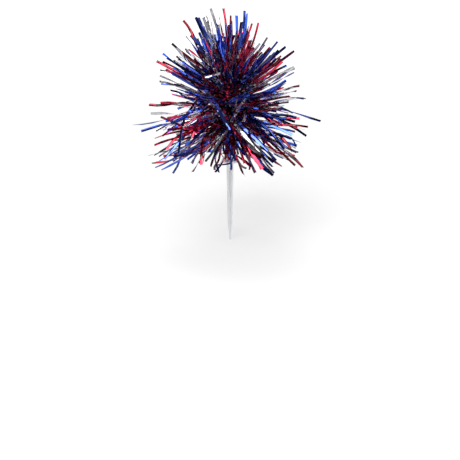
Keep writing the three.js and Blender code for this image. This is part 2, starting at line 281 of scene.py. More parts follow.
@dataclass(frozen=True)
class FilmFinish:
    """Metallised film: a mirror under a coloured lacquer, a little crumpled from being cut and wound.

    Each pattern has a scale across the strip and one along it, and each pair of limits says where something
    begins and where it is full. The base colour runs from a dark colour to the film's own by the strip's tone
    and
    its creases: partly tone that differs from strip to strip, partly painted reflections of dark and light.
    It takes the highlight colour as a painted highlight along the creases of light strips, and as painted
    glints in small patches, which are less metallic near the winding. Near the winding, where the burst is
    crowded, the film has painted shade and more painted glints, and is more crumpled.
    """

    name: str
    colour: Colour
    # The second colour is partly a darker tone of the film, partly a painted reflection of the dim room
    dark_tone_and_reflection: Colour
    # The third colour is the colour of painted highlights and painted glints
    highlight_colour: Colour
    roughness: float = 0.03
    coat: float = 0.5
    coat_roughness: float = 0.04
    crease_scale: Triple = (0.4, 0.2, 1.0)
    crumple_scale: Triple = (0.6, 0.5, 1.0)
    glint_scale: Triple = (0.9, 0.6, 1.0)
    grain_scale: Triple = (3.0, 0.7, 1.0)
    glint_limits: tuple[float, float] = (0.56, 0.62)
    open_limits: tuple[float, float] = (0.15, 0.75)
    colour_limits: tuple[float, float] = (0.3, 0.85)
    # Painted highlight: which light-toned strips take the highlight colour along their creases, and how much
    highlight_tones: tuple[float, float] = (0.78, 0.95)
    highlight_creases: tuple[float, float] = (0.4, 0.6)
    highlight_share: float = 0.8
    # Painted shade near the winding: the share of the colour taken away where the burst is crowded
    crowd_painted_shade: float = 0.5
    glint_dullness: float = 0.75
    bump_depth: float = 0.0009
    bump_strength: float = 0.5

    def material(self) -> bpy.types.Material:
        """Builds the material.

        The film's map runs across the strip in u, from 0 to 1, and along it in v, in strip widths.

        Returns:
            The material.
        """
        material, graph = new_material(self.name)
        film = graph.node("ShaderNodeUVMap", {"uv_map": "film"})[0]
        tone = graph.node("ShaderNodeAttribute", {"attribute_name": "tone"})["Fac"]
        depth = graph.node("ShaderNodeAttribute", {"attribute_name": "depth"})["Fac"]

        creases = graph.noise(graph.stretched(film, self.crease_scale), 1.0, 1.0, 0.4)
        crumples = graph.noise(graph.stretched(film, self.crumple_scale), 1.0, 1.5, 0.45)
        spots = graph.noise(graph.stretched(film, self.glint_scale), 1.0, 0.5, 0.4)
        grain = graph.noise(graph.stretched(film, self.grain_scale), 1.0, 2.0, 0.5)

        # Patches for painted glints
        glints = spots.step(*self.glint_limits)
        crowded = 1.0 - depth.step(*self.open_limits)
        # From the dark colour to the film's own by tone and creases: partly tone, partly painted dark and
        # light reflections
        reflection_and_tone_share = (tone * 0.8 + creases * 0.3).step(*self.colour_limits)
        reflection_and_tone_colour = graph.blend(reflection_and_tone_share, self.dark_tone_and_reflection, self.colour)
        # Painted shade: the colour is darker near the winding, where the burst is crowded
        shadowed = graph.shaded(reflection_and_tone_colour, 1.0 - self.crowd_painted_shade * crowded)
        # Painted highlight along the creases of light-toned strips
        painted_highlight = tone.step(*self.highlight_tones) * creases.step(*self.highlight_creases) * self.highlight_share
        # Painted highlights, and painted glints in the patches, more of them near the winding
        highlight_and_glint_share = painted_highlight + (1.0 - painted_highlight) * glints * (0.2 + 0.8 * crowded)
        height = creases * 0.9 + grain * 0.04 + crumples * (0.2 + 1.3 * crowded)
        shader = graph.node(
            "ShaderNodeBsdfPrincipled",
            None,
            {
                "Base Color": graph.blend(highlight_and_glint_share, shadowed, self.highlight_colour),
                # Less metallic where painted glints lie near the winding
                "Metallic": 0.98 - self.glint_dullness * glints * crowded,
                "Roughness": self.roughness + 0.05 * grain,
                "Coat Weight": self.coat,
                "Coat Roughness": self.coat_roughness,
                "Coat IOR": 1.5,
                "Normal": graph.bump(height, self.bump_depth, self.bump_strength),
            },
        )
        surface_from(graph, shader[0])
        return material


@dataclass(frozen=True)
class MouldedFinish:
    """Moulded or extruded plastic: faint flow marks, and a gloss that varies a little."""

    name: str
    colour: Colour
    shade: Colour
    roughness: float
    transmission: float
    flow: Triple = (1.0, 1.0, 0.25)
    cloud_scale: float = 180.0
    flow_scale: float = 900.0
    skin_scale: float = 5200.0
    flow_depth: float = 0.000012

    def material(self) -> bpy.types.Material:
        """Builds the material.

        Returns:
            The material.
        """
        material, graph = new_material(self.name)
        place = graph.node("ShaderNodeTexCoord")["Object"]
        along = graph.stretched(place, self.flow)
        cloud = graph.noise(along, self.cloud_scale, 3.0, 0.55)
        flow_marks = graph.noise(along, self.flow_scale, 3.0, 0.6)
        skin = graph.noise(place, self.skin_scale, 1.0)
        shader = graph.node(
            "ShaderNodeBsdfPrincipled",
            None,
            {
                "Base Color": graph.blend(cloud.step(0.25, 0.75), self.shade, self.colour),
                "Roughness": self.roughness + 0.08 * (flow_marks - 0.4),
                "Transmission Weight": self.transmission,
                "IOR": 1.5,
                "Normal": graph.bump(flow_marks * 0.8 + skin * 0.2, self.flow_depth, 0.25),
            },
        )
        surface_from(graph, shader[0])
        return material


@dataclass(frozen=True)
class TapeFinish:
    """Double-sided adhesive tape: dull, with fine crosswise wrinkles from being wrapped, and painted shade in
    their hollows.
    """

    name: str
    colour: Colour
    shade: Colour
    wrinkle_stretch: Triple = (1.0, 1.0, 0.2)
    wrinkle_scale: float = 1500.0
    fibre_scale: float = 4000.0
    wrinkle_depth: float = 0.00008

    def material(self) -> bpy.types.Material:
        """Builds the material.

        Returns:
            The material.
        """
        material, graph = new_material(self.name)
        place = graph.node("ShaderNodeTexCoord")["Object"]
        wrinkles = graph.noise(graph.stretched(place, self.wrinkle_stretch), self.wrinkle_scale, 3.0, 0.6)
        fibres = graph.noise(place, self.fibre_scale, 2.0, 0.6)
        shader = graph.node(
            "ShaderNodeBsdfPrincipled",
            None,
            {
                # Painted shade: the colour is darker in the wrinkles' hollows, where the bump is low
                "Base Color": graph.blend(wrinkles.step(0.3, 0.7), self.shade, self.colour),
                "Roughness": 0.62 + 0.2 * (fibres - 0.5),
                "Normal": graph.bump(wrinkles * 0.7 + fibres * 0.3, self.wrinkle_depth, 0.5),
            },
        )
        surface_from(graph, shader[0])
        return material


# Modelling


def deselect_all() -> None:
    """Leaves nothing selected and nothing active."""
    bpy.ops.object.select_all(action="DESELECT")
    bpy.context.view_layer.objects.active = None


def take(piece: bpy.types.Object, *others: bpy.types.Object) -> None:
    """Selects pieces alone.

    Args:
        piece: The piece that is made active.
        *others: Further pieces.
    """
    deselect_all()
    for other in (piece, *others):
        other.select_set(True)
    bpy.context.view_layer.objects.active = piece


def settle(piece: bpy.types.Object) -> None:
    """Puts a piece's place, turn and scale into its mesh."""
    take(piece)
    bpy.ops.object.transform_apply(location=True, rotation=True, scale=True)


@contextmanager
def editing(piece: bpy.types.Object, mode: str = "FACE") -> Iterator[None]:
    """Opens a piece in edit mode with nothing selected, and leaves edit mode at the end.

    Args:
        piece: The piece.
        mode: What is selected there: VERT, EDGE or FACE.
    """
    take(piece)
    bpy.ops.object.mode_set(mode="EDIT")
    bpy.ops.mesh.select_mode(type=mode)
    bpy.ops.mesh.select_all(action="DESELECT")
    yield
    bpy.ops.object.mode_set(mode="OBJECT")


def pick_faces(piece: bpy.types.Object, test: Callable[[Vector, Vector], bool]) -> None:
    """Selects the faces of the piece in edit mode that pass a test.

    Args:
        piece: The piece.
        test: Says from a face's centre and normal whether it is selected.
    """
    mesh = bmesh.from_edit_mesh(piece.data)
    for face in mesh.faces:
        if test(face.calc_center_median(), face.normal):
            face.select_set(True)
    bmesh.update_edit_mesh(piece.data)


def pick_edges(piece: bpy.types.Object, test: Callable[[Vector, Vector], bool]) -> None:
    """Selects the edges of the piece in edit mode that pass a test.

    Args:
        piece: The piece.
        test: Says from an edge's two ends whether it is selected.
    """
    mesh = bmesh.from_edit_mesh(piece.data)
    for edge in mesh.edges:
        if test(edge.verts[0].co, edge.verts[1].co):
            edge.select_set(True)
    bmesh.update_edit_mesh(piece.data)


def ring_test(radius: float, height: float) -> Callable[[Vector, Vector], bool]:
    """Makes a test for the edges of one ring round the Z axis.

    Args:
        radius: Radius of the ring in metres.
        height: Its height in metres.

    Returns:
        The test, for pick_edges.
    """
    near = 0.02 * MM

    def test(first: Vector, second: Vector) -> bool:
        """Says whether both ends of an edge lie on the ring."""
        return all(
            abs(end.z - height) < near and abs(end.xy.length - radius) < near for end in (first, second)
        )

    return test


def faces_up(centre: Vector, normal: Vector) -> bool:
    """Says whether a face looks straight up."""
    return normal.z > UPRIGHT


def faces_down(centre: Vector, normal: Vector) -> bool:
    """Says whether a face looks straight down."""
    return normal.z < -UPRIGHT


def add_round(name: str, radius: float, bottom: float, top: float, sides: int) -> bpy.types.Object:
    """Adds an upright cylinder on the Z axis, with its place in its mesh.

    Args:
        name: Name of the piece.
        radius: Its radius in metres.
        bottom: Height of its lower end.
        top: Height of its upper end.
        sides: Count of its sides.

    Returns:
        The piece.
    """
    deselect_all()
    bpy.ops.mesh.primitive_cylinder_add(
        vertices=sides, radius=radius, depth=top - bottom, location=(0.0, 0.0, (top + bottom) / 2)
    )
    piece = bpy.context.active_object
    piece.name = name
    settle(piece)
    return piece


def bore_through(piece: bpy.types.Object, wall: float) -> None:
    """Makes a tube of an upright cylinder.

    Args:
        piece: The cylinder.
        wall: Thickness of the wall that is left, in metres.
    """
    with editing(piece):
        pick_faces(piece, lambda centre, normal: abs(normal.z) > UPRIGHT)
        bpy.ops.mesh.inset(thickness=wall)
        bpy.ops.mesh.bridge_edge_loops()


def round_rings(piece: bpy.types.Object, reach: float, steps: int, *rings: tuple[float, float]) -> None:
    """Rounds edges that are rings round the Z axis.

    Args:
        piece: The piece.
        reach: How far the rounding reaches from the edge, in metres.
        steps: How many faces it has.
        *rings: Radius and height of each ring, in metres.
    """
    with editing(piece, "EDGE"):
        for radius, height in rings:
            pick_edges(piece, ring_test(radius, height))
        bpy.ops.mesh.bevel(offset=reach, segments=steps, affect="EDGES")


def apply_modifier(piece: bpy.types.Object, kind: str, **settings: Any) -> None:
    """Adds a modifier to a piece and applies it.

    Args:
        piece: The piece.
        kind: Blender's type name of the modifier.
        **settings: The modifier's settings.
    """
    take(piece)
    modifier = piece.modifiers.new(kind.lower(), kind)
    for name, value in settings.items():
        setattr(modifier, name, value)
    bpy.ops.object.modifier_apply(modifier=modifier.name)


def smooth(piece: bpy.types.Object, degrees: float = SMOOTH_BELOW) -> None:
    """Shades a piece smooth, except over edges sharper than an angle."""
    take(piece)
    bpy.ops.object.shade_smooth_by_angle(angle=math.radians(degrees))


def dress(piece: bpy.types.Object, material: bpy.types.Material, node: str) -> None:
    """Gives a piece its material and ties it to the frame.

    Args:
        piece: The piece.
        material: Its material.
        node: The node that it stands for.
    """
    piece.data.materials.clear()
    piece.data.materials.append(material)
    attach(piece, "root")
    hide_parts(node)


# Plastic pieces


@dataclass
class Stake:
    """The moulded stake with its stop disc and socket."""

    finish: MouldedFinish
    length: float = 66.0 * MM
    point_length: float = 17.0 * MM
    width_at_disc: float = 6.4 * MM
    width_at_point: float = 4.2 * MM
    rib_thickness: float = 1.5 * MM
    rib_thinning: float = 0.92
    rib_turns: tuple[float, float] = (45.0, 135.0)
    point_width: float = 0.7 * MM
    point_thinning: float = 0.5
    disc_radius: float = 6.8 * MM
    disc_thickness: float = 1.8 * MM
    disc_edge: float = 0.4 * MM
    bore_radius: float = 2.15 * MM
    socket_wall: float = 1.45 * MM
    mouth_wall: float = 0.95 * MM
    socket_top: float = 14.8 * MM
    socket_floor: float = 2.8 * MM
    fillet: float = 1.2 * MM
    fillet_steps: int = 6
    disc_edge_steps: int = 4
    rounding: float = 0.16 * MM
    rounded_above: float = 48.0
    sides: int = 64

    def _disc_and_socket(self) -> bpy.types.Object:
        """Shapes the disc, and draws the socket up out of it.

        Returns:
            The piece, without its ribs.
        """
        foot = self.bore_radius + self.socket_wall
        mouth = self.bore_radius + self.mouth_wall
        piece = add_round("stake_moulding", self.disc_radius, 0.0, self.disc_thickness, self.sides)
        with editing(piece):
            pick_faces(piece, faces_up)
            bpy.ops.mesh.inset(thickness=self.disc_radius - foot)
            bpy.ops.mesh.extrude_region_move(
                TRANSFORM_OT_translate={"value": (0.0, 0.0, self.socket_top - self.disc_thickness)}
            )
            bpy.ops.transform.resize(value=(mouth / foot, mouth / foot, 1.0))
            bpy.ops.mesh.inset(thickness=self.mouth_wall)
            bpy.ops.mesh.extrude_region_move(
                TRANSFORM_OT_translate={"value": (0.0, 0.0, self.socket_floor - self.socket_top)}
            )
        round_rings(piece, self.fillet, self.fillet_steps, (foot, self.disc_thickness))
        disc_rings = ((self.disc_radius, 0.0), (self.disc_radius, self.disc_thickness))
        round_rings(piece, self.disc_edge, self.disc_edge_steps, *disc_rings)
        return piece

    def _rib(self, degrees: float) -> bpy.types.Object:
        """Shapes one of the two crossed ribs, drawn down to the point.

        Args:
            degrees: How far it is turned about the Z axis.

        Returns:
            The rib.
        """
        top = self.disc_thickness / 2
        deselect_all()
        bpy.ops.mesh.primitive_cube_add(size=1.0, location=(0.0, 0.0, top / 2))
        rib = bpy.context.active_object
        rib.scale = (self.width_at_disc, self.rib_thickness, top)
        settle(rib)
        draws = (
            (self.length - self.point_length, self.width_at_point / self.width_at_disc, self.rib_thinning),
            (self.point_length, self.point_width / self.width_at_point, self.point_thinning),
        )
        with editing(rib):
            pick_faces(rib, faces_down)
            for drop, narrower, thinner in draws:
                bpy.ops.mesh.extrude_region_move(TRANSFORM_OT_translate={"value": (0.0, 0.0, -drop)})
                bpy.ops.transform.resize(value=(narrower, thinner, 1.0))
        rib.rotation_euler = (0.0, 0.0, math.radians(degrees))
        settle(rib)
        return rib

    def build(self) -> bpy.types.Object:
        """Models the moulding in one piece.

        Returns:
            The finished piece.
        """
        piece = self._disc_and_socket()
        for degrees in self.rib_turns:
            rib = self._rib(degrees)
            apply_modifier(piece, "BOOLEAN", operation="UNION", object=rib, solver="EXACT")
            bpy.data.objects.remove(rib)
        apply_modifier(
            piece,
            "BEVEL",
            width=self.rounding,
            segments=2,
            limit_method="ANGLE",
            angle_limit=math.radians(self.rounded_above),
        )
        smooth(piece)
        dress(piece, self.finish.material(), "pick_stake")
        return piece


@dataclass
class Rod:
    """The rod that carries the burst, seated in the stake's socket."""

    finish: MouldedFinish
    radius: float = 2.0 * MM
    bottom: float = 2.8 * MM
    top: float = 71.15 * MM
    edge: float = 0.3 * MM
    sides: int = 48

    def build(self) -> bpy.types.Object:
        """Models the rod, with both ends rounded.

        Returns:
            The finished piece.
        """
        piece = add_round("rod_body", self.radius, self.bottom, self.top, self.sides)
        round_rings(piece, self.edge, EDGE_STEPS, (self.radius, self.bottom), (self.radius, self.top))
        smooth(piece)
        dress(piece, self.finish.material(), "core_rod")
        return piece


@dataclass
class Collar:
    """The collar pressed on the rod under the winding."""

    finish: MouldedFinish
    bore: float = 2.15 * MM
    radius: float = 3.8 * MM
    bottom: float = 19.8 * MM
    top: float = 23.2 * MM
    edge: float = 0.5 * MM
    bore_edge: float = 0.15 * MM
    sides: int = 64

    def build(self) -> bpy.types.Object:
        """Models the collar: a bored disc, rounded outside and at the bore.

        Returns:
            The finished piece.
        """
        piece = add_round("collar_ring", self.radius, self.bottom, self.top, self.sides)
        bore_through(piece, self.radius - self.bore)
        round_rings(piece, self.edge, EDGE_STEPS, (self.radius, self.bottom))
        round_rings(piece, self.bore_edge, EDGE_STEPS, (self.radius, self.top))
        round_rings(piece, self.bore_edge, EDGE_STEPS, (self.bore, self.bottom))
        smooth(piece)
        dress(piece, self.finish.material(), "lower_collar")
        return piece


@dataclass
class Tape:
    """The double-sided tape wrapped round the rod, its end lapped over its start."""

    finish: TapeFinish
    inner: float = 2.15 * MM
    outer: float = 2.45 * MM
    bottom: float = 23.75 * MM
    top: float = 66.95 * MM
    lap: float = 0.09 * MM
    lapped_sides: float = 0.85
    sides: int = 48

    def build(self) -> bpy.types.Object:
        """Models the tape, with one strip of its outside raised where the end laps.

        Returns:
            The finished piece.
        """
        piece = add_round("tape_wrap", self.outer, self.bottom, self.top, self.sides)
        bore_through(piece, self.outer - self.inner)
        between = (self.inner + self.outer) / 2
        with editing(piece):
            pick_faces(
                piece,
                lambda centre, normal: normal.y > self.lapped_sides and centre.xy.length > between,
            )
            bpy.ops.mesh.extrude_region_move(TRANSFORM_OT_translate={"value": (0.0, self.lap, 0.0)})
        smooth(piece)
        dress(piece, self.finish.material(), "adhesive_tape")
        return piece


@dataclass
class Cap:
    """The domed cap over the rod's end."""

    finish: MouldedFinish
    bore: float = 2.15 * MM
    radius: float = 3.1 * MM
    bottom: float = 68.95 * MM
    rod_top: float = 71.15 * MM
    top: float = 71.95 * MM
    dome: float = 1.5 * MM
    dome_steps: int = 8
    edge: float = 0.15 * MM
    sides: int = 64
    smooth_below: float = 50.0

    def build(self) -> bpy.types.Object:
        """Models the cap: a cylinder bored from below, its top edge rounded to a dome.

        Returns:
            The finished piece.
        """
        piece = add_round("cap_shell", self.radius, self.bottom, self.top, self.sides)
        with editing(piece):
            pick_faces(piece, faces_down)
            bpy.ops.mesh.inset(thickness=self.radius - self.bore)
            bpy.ops.mesh.extrude_region_move(
                TRANSFORM_OT_translate={"value": (0.0, 0.0, self.rod_top - self.bottom)}
            )
        round_rings(piece, self.dome, self.dome_steps, (self.radius, self.top))
        round_rings(piece, self.edge, EDGE_STEPS, (self.radius, self.bottom))
        round_rings(piece, self.edge, EDGE_STEPS, (self.bore, self.bottom))
        smooth(piece, self.smooth_below)
        dress(piece, self.finish.material(), "top_cap")
        return piece


# Foil


class Foil(Enum):
    """The three foils that are wound together."""

    BLUE = "blue"
    RED = "red"
    SILVER = "silver"


class Mirrored(Enum):
    """What a viewer in front can see mirrored in a strip, with the direction in which it lies.

    It is one of the five softboxes, the white table, or the dim room beside the viewer.
    """

    KEY = (-0.2, -0.62, 0.75)
    RIGHT = (0.84, -0.34, 0.41)
    LEFT = (-0.84, -0.45, 0.27)
    NEAR = (0.48, -0.85, 0.21)
    TOP = (-0.07, 0.33, 0.94)
    TABLE = (0.0, 0.1, -1.0)
    ROOM = (0.25, -0.95, 0.15)


SOFTBOXES_MIRRORED = (Mirrored.KEY, Mirrored.RIGHT, Mirrored.LEFT, Mirrored.NEAR, Mirrored.TOP)
FLAT_STRIPS_MIRROR = (Mirrored.ROOM, Mirrored.ROOM, Mirrored.KEY)


class Dice:
    """Repeatable numbers, the same as those that spread the solids' strips."""

    FACTOR = 1664525
    SHIFT = 1013904223
    RANGE = 2**32

    def __init__(self, seed: int) -> None:
        """Starts the row of numbers at a seed."""
        self.state = seed

    def next(self) -> float:
        """Returns the next number from 0 to 1."""
        self.state = (self.state * self.FACTOR + self.SHIFT) % self.RANGE
        return self.state / self.RANGE

    def between(self, low: float, high: float) -> float:
        """Returns the next number between two limits."""
        return low + (high - low) * self.next()

    def swing(self, limit: float = 1.0) -> float:
        """Returns the next number between a limit below 0 and the same one above it."""
        return self.between(-limit, limit)

    def choice(self, options: tuple[Mirrored, ...]) -> Mirrored:
        """Returns one of several options."""
        return options[int(self.next() * len(options))]


def clamp(value: float, low: float, high: float) -> float:
    """Returns the value, held between two limits."""
    return max(low, min(high, value))


def lerp(first: float, second: float, share: float) -> float:
    """Returns the value at a share of the way from the first to the second."""
    return first + (second - first) * share


def unit(vector: np.ndarray) -> np.ndarray:
    """Returns vectors of length 1 with the same directions."""
    return vector / np.linalg.norm(vector, axis=-1, keepdims=True)


def outward_at(angle: float) -> np.ndarray:
    """Returns the direction away from the rod at an angle round it."""
    return np.array([math.cos(angle), math.sin(angle), 0.0])


def along_at(angle: float) -> np.ndarray:
    """Returns the direction along the winding at an angle round the rod."""
    return np.array([-math.sin(angle), math.cos(angle), 0.0])


def pointing(heading: float, rise: float) -> np.ndarray:
    """Returns the direction with a heading round the rod and a rise above the horizon."""
    return outward_at(heading) * math.cos(rise) + np.array([0.0, 0.0, math.sin(rise)])


@dataclass(frozen=True)
class FringeCut:
    """How one foil is cut and wound, with angles in degrees.

    Its stragglers are the strips that stand out from the rest: heading and rise of the end of each, seen from
    the middle of the winding, and its distance from there in usual strip lengths.
    """

    foil: Foil
    strips: int
    start: float
    seed: int
    stragglers: tuple[tuple[float, float, float], ...]


@dataclass(frozen=True)
class Tuft:
    """A direction, seen from the middle of the winding, in which neighbouring strips are drawn together.

    Its pull is the share of the way that they are drawn. Its width in degrees says how far off it still
    works, and its growth by what share they are longer there.
    """

    heading: float
    rise: float
    width: float
    pull: float
    growth: float


@dataclass(frozen=True)
class RegularStrip:
    """A strip as it would stand if the burst were quite regular, with the room that it has each way."""

    root: np.ndarray
    direction: np.ndarray
    along: np.ndarray
    over: np.ndarray
    side_room: float
    rise_room: float
    droop: float


@dataclass(frozen=True)
class StripLine:
    """The line that a strip follows, in millimetres at each of its stations, and how it turns on the way.

    Its side is one direction for the whole strip or one for each station. Its freedom is the share of the
    usual loose turning that it has.
    """

    points: np.ndarray
    side: np.ndarray
    roll: np.ndarray
    freedom: float = 1.0

    @property
    def length(self) -> float:
        """Distance from the strip's root to its end."""
        return float(np.linalg.norm(self.points[-1] - self.points[0]))

    @property
    def forward(self) -> np.ndarray:
        """Direction from the strip's root to its end."""
        return unit(self.points[-1] - self.points[0])


def mirroring_side(forward: np.ndarray, mirrored: Mirrored) -> np.ndarray:
    """Turns a strip about its length until a viewer in front sees a given thing mirrored.

    Args:
        forward: Direction of the strip.
        mirrored: What is to be seen.

    Returns:
        The direction across the strip.
    """
    across = unit(np.cross(forward, TO_VIEWER))
    over = np.cross(forward, across)
    sides = [across * math.cos(turn) + over * math.sin(turn) for turn in TURNS_TRIED]
    wanted = unit(np.array(mirrored.value))

    def match(side: np.ndarray) -> float:
        """Says how near the mirrored direction comes to the wanted one."""
        normal = np.cross(forward, side)
        return float((2 * (normal @ TO_VIEWER) * normal - TO_VIEWER) @ wanted)

    return max(sides, key=match)


@dataclass(frozen=True)
class FrontStrip:
    """A strip that shows by itself on the near side of the burst, led from the winding to its end.

    Its width and path are in millimetres. It is turned so that a viewer in front sees one thing mirrored near
    its root and another near its end. Its tone says how light it is, from 0 to 1, and mostly goes with what
    it mirrors, dark for the dim room and light for a softbox: a painted reflection in the film's colour.
    """

    foil: Foil
    width: float
    path: tuple[Triple, ...]
    root_mirrors: Mirrored
    end_mirrors: Mirrored
    tone: float = 0.6

    def line(self, stations: int) -> StripLine:
        """Draws a smooth line through the path.

        Args:
            stations: Into how many segments the strip is cut.

        Returns:
            The line.
        """
        path = np.array(self.path, dtype=float)
        slopes = np.gradient(path, axis=0)
        place = np.linspace(0.0, len(path) - 1.0, stations + 1)
        first = np.minimum(place.astype(int), len(path) - 2)
        way = (place - first)[:, None]
        points = (
            path[first] * (1 + 2 * way) * (1 - way) ** 2
            + path[first + 1] * (3 - 2 * way) * way * way
            + slopes[first] * way * (1 - way) ** 2
            - slopes[first + 1] * way * way * (1 - way)
        )
        share = np.linspace(0.0, 1.0, stations + 1)[:, None]
        forward = unit(np.gradient(points, axis=0))
        root_side = mirroring_side(forward[stations // 3], self.root_mirrors)
        end_side = mirroring_side(forward[-2], self.end_mirrors)
        return StripLine(points, root_side * (1 - share) + end_side * share, np.zeros(stations + 1))


@dataclass(frozen=True)
class Burst:
    """The layout of the winding and of the strips that stand out of it, in millimetres and degrees."""

    band_inner: float = 2.6
    winding_bottom: float = 23.35
    winding_height: float = 44.0
    band_gap: float = 0.35
    turns: float = 5.0
    fringes: int = 3
    end_build: float = 1.4
    middle_build: float = 2.9
    strip_width: float = 1.6
    strip_length: float = 47.0
    length_spread: float = 8.0
    strip_gap: float = 0.4
    lowest: float = -33.0
    highest: float = 78.5
    crowding: float = 0.5
    droop: float = 4.0
    twist: float = 100.0
    scatter: float = 0.85
    surface: float = 2.0
    softness: float = 2.5
    held_to: float = 6.0
    free_from: float = 36.0
    ripple: float = 0.8
    ripple_length: float = 46.0
    search_steps: int = 24
    tufts: tuple[Tuft, ...] = ()
    stations: int = 9

    @property
    def band_height(self) -> float:
        """Height of one fringe's band."""
        pitch = (self.winding_height + self.band_gap) / (self.turns + 1 / self.fringes)
        return pitch / self.fringes - self.band_gap

    @property
    def winding_middle(self) -> float:
        """Height of the middle of the winding."""
        return self.winding_bottom + self.winding_height / 2

    def band_at(self, cut: FringeCut, share: float) -> tuple[float, float, float]:
        """Finds a fringe's band at a share of the way up its winding.

        Args:
            cut: The fringe.
            share: The share, from 0 to 1.

        Returns:
            Angle round the rod in radians, height and outer radius.
        """
        build = lerp(self.middle_build, self.end_build, (2 * share - 1) ** 2)
        height = self.winding_bottom + self.band_height / 2 + share * (self.winding_height - self.band_height)
        return math.radians(cut.start) + FULL_TURN * self.turns * share, height, self.band_inner + build

    def rise_at(self, share: float) -> float:
        """Finds how steeply the strips stand at a share of the way up the winding.

        Args:
            share: The share. Below 0 and above 1 the strips stand like those at the ends.

        Returns:
            Their angle above the horizon in radians.
        """
        held = clamp(share, 0.0, 1.0)
        lowest, highest = math.radians(self.lowest), math.radians(self.highest)
        even = math.asin(lerp(math.sin(lowest), math.sin(highest), held))
        return lerp(even, lerp(lowest, highest, held), self.crowding)

    def regular(self, cut: FringeCut, share: float, length: float) -> RegularStrip:
        """Finds a strip as it would stand in a quite regular burst.

        Args:
            cut: The fringe.
            share: Where its root is on the way up the winding, from 0 to 1.
            length: Its length.

        Returns:
            The strip and its room.
        """
        angle, height, radius = self.band_at(cut, share)
        rise = self.rise_at(share)
        direction = pointing(angle, rise)
        along = along_at(angle)
        pitch = (radius + length * math.cos(rise)) * FULL_TURN * self.turns / cut.strips
        row = 1 / (self.fringes * self.turns)
        row_height = length * (self.rise_at(share + row) - self.rise_at(share - row)) / 2
        side_room, rise_room = (
            max(0.0, space - self.strip_width - self.strip_gap) / 2 * self.scatter
            for space in (pitch, row_height)
        )
        return RegularStrip(
            root=outward_at(angle) * radius + np.array([0.0, 0.0, height]),
            direction=direction,
            along=along,
            over=np.cross(direction, along),
            side_room=side_room,
            rise_room=rise_room,
            droop=self.droop * math.cos(rise) * (length / self.strip_length) ** 2,
        )

    def settled(self, heights: np.ndarray) -> np.ndarray:
        """Bends heights that would lie under the stop disc's plane softly up to just over it."""
        return self.surface + self.softness * np.log1p(np.exp((heights - self.surface) / self.softness))

    def ruffled(self, points: np.ndarray) -> np.ndarray:
        """Moves points as the strips lie in reality: in waves, in tufts, and above the stop disc's plane.

        The shift is the same for all that passes a place, so strips that don't cross before don't cross
        after.

        Args:
            points: Points in millimetres, a row for each.

        Returns:
            The moved points.
        """
        middle = np.array([0.0, 0.0, self.winding_middle])
        away = points - middle
        past = away.copy()
        past[:, 2] -= np.clip(away[:, 2], -self.winding_height / 2, self.winding_height / 2)
        distance = np.linalg.norm(past, axis=1, keepdims=True)
        free = np.clip((distance - self.held_to) / (self.free_from - self.held_to), 0.0, 1.0)
        phase = away * (FULL_TURN / self.ripple_length)
        x, y, z = phase.T
        waves = np.stack([np.sin(z) + np.cos(y), np.sin(x) + np.cos(z), np.sin(y) + np.cos(x)], axis=1)
        away = away + free * self.ripple * waves
        reach = np.linalg.norm(away, axis=1, keepdims=True)
        direction = away / reach
        drawn = np.zeros_like(direction)
        growth = np.zeros_like(reach)
        for tuft in self.tufts:
            aim = pointing(math.radians(tuft.heading), math.radians(tuft.rise)) - direction
            near = np.exp(-np.sum(aim * aim, axis=1, keepdims=True) / math.radians(tuft.width) ** 2)
            drawn += tuft.pull * near * aim
            growth += tuft.growth * near
        moved = middle + unit(direction + free * drawn) * reach * (1 + free * growth)
        moved[:, 2] = self.settled(moved[:, 2])
        return moved

    def before_ruffling(self, end: np.ndarray) -> np.ndarray:
        """Finds the place from which ruffling moves a point to a given end, by bettering a first guess.

        Args:
            end: Where the point goes.

        Returns:
            Where it comes from.
        """
        middle = np.array([0.0, 0.0, self.winding_middle])
        aim = end - middle
        away = aim.copy()
        for _ in range(self.search_steps):
            reached = self.ruffled((away + middle)[None])[0] - middle
            length = np.linalg.norm(away) * np.linalg.norm(aim) / np.linalg.norm(reached)
            away = unit(unit(away) + unit(aim) - unit(reached)) * length
        return away + middle

    def stragglers_by_strip(self, cut: FringeCut) -> dict[int, tuple[np.ndarray, float]]:
        """Chooses, for each straggler of a fringe, the strip that already points nearest to it.

        Args:
            cut: The fringe.

        Returns:
            By the strip's number, where its end would lie without ruffling, and how long it is for its reach.
        """
        chosen: dict[int, tuple[np.ndarray, float]] = {}
        middle = np.array([0.0, 0.0, self.winding_middle])
        for heading, rise, reach in cut.stragglers:
            seen = middle + pointing(math.radians(heading), math.radians(rise)) * self.strip_length * reach
            seen[2] = self.settled(seen[2])
            end = self.before_ruffling(seen)
            nearest, least = -1, math.inf
            for strip in range(cut.strips):
                regular = self.regular(cut, (strip + 0.5) / cut.strips, self.strip_length)
                away = float(np.linalg.norm(end - regular.root))
                distance = float(np.linalg.norm(regular.root + regular.direction * away - end))
                if distance < least and strip not in chosen:
                    nearest, least = strip, distance
            regular = self.regular(cut, (nearest + 0.5) / cut.strips, self.strip_length)
            length = float(np.linalg.norm(end - regular.root))
            for _ in range(self.search_steps):
                reached = self.ruffled((regular.root + regular.direction * length)[None])[0]
                length *= float(np.linalg.norm(seen - middle) / np.linalg.norm(reached - middle))
            chosen[nearest] = (end, length)
        return chosen

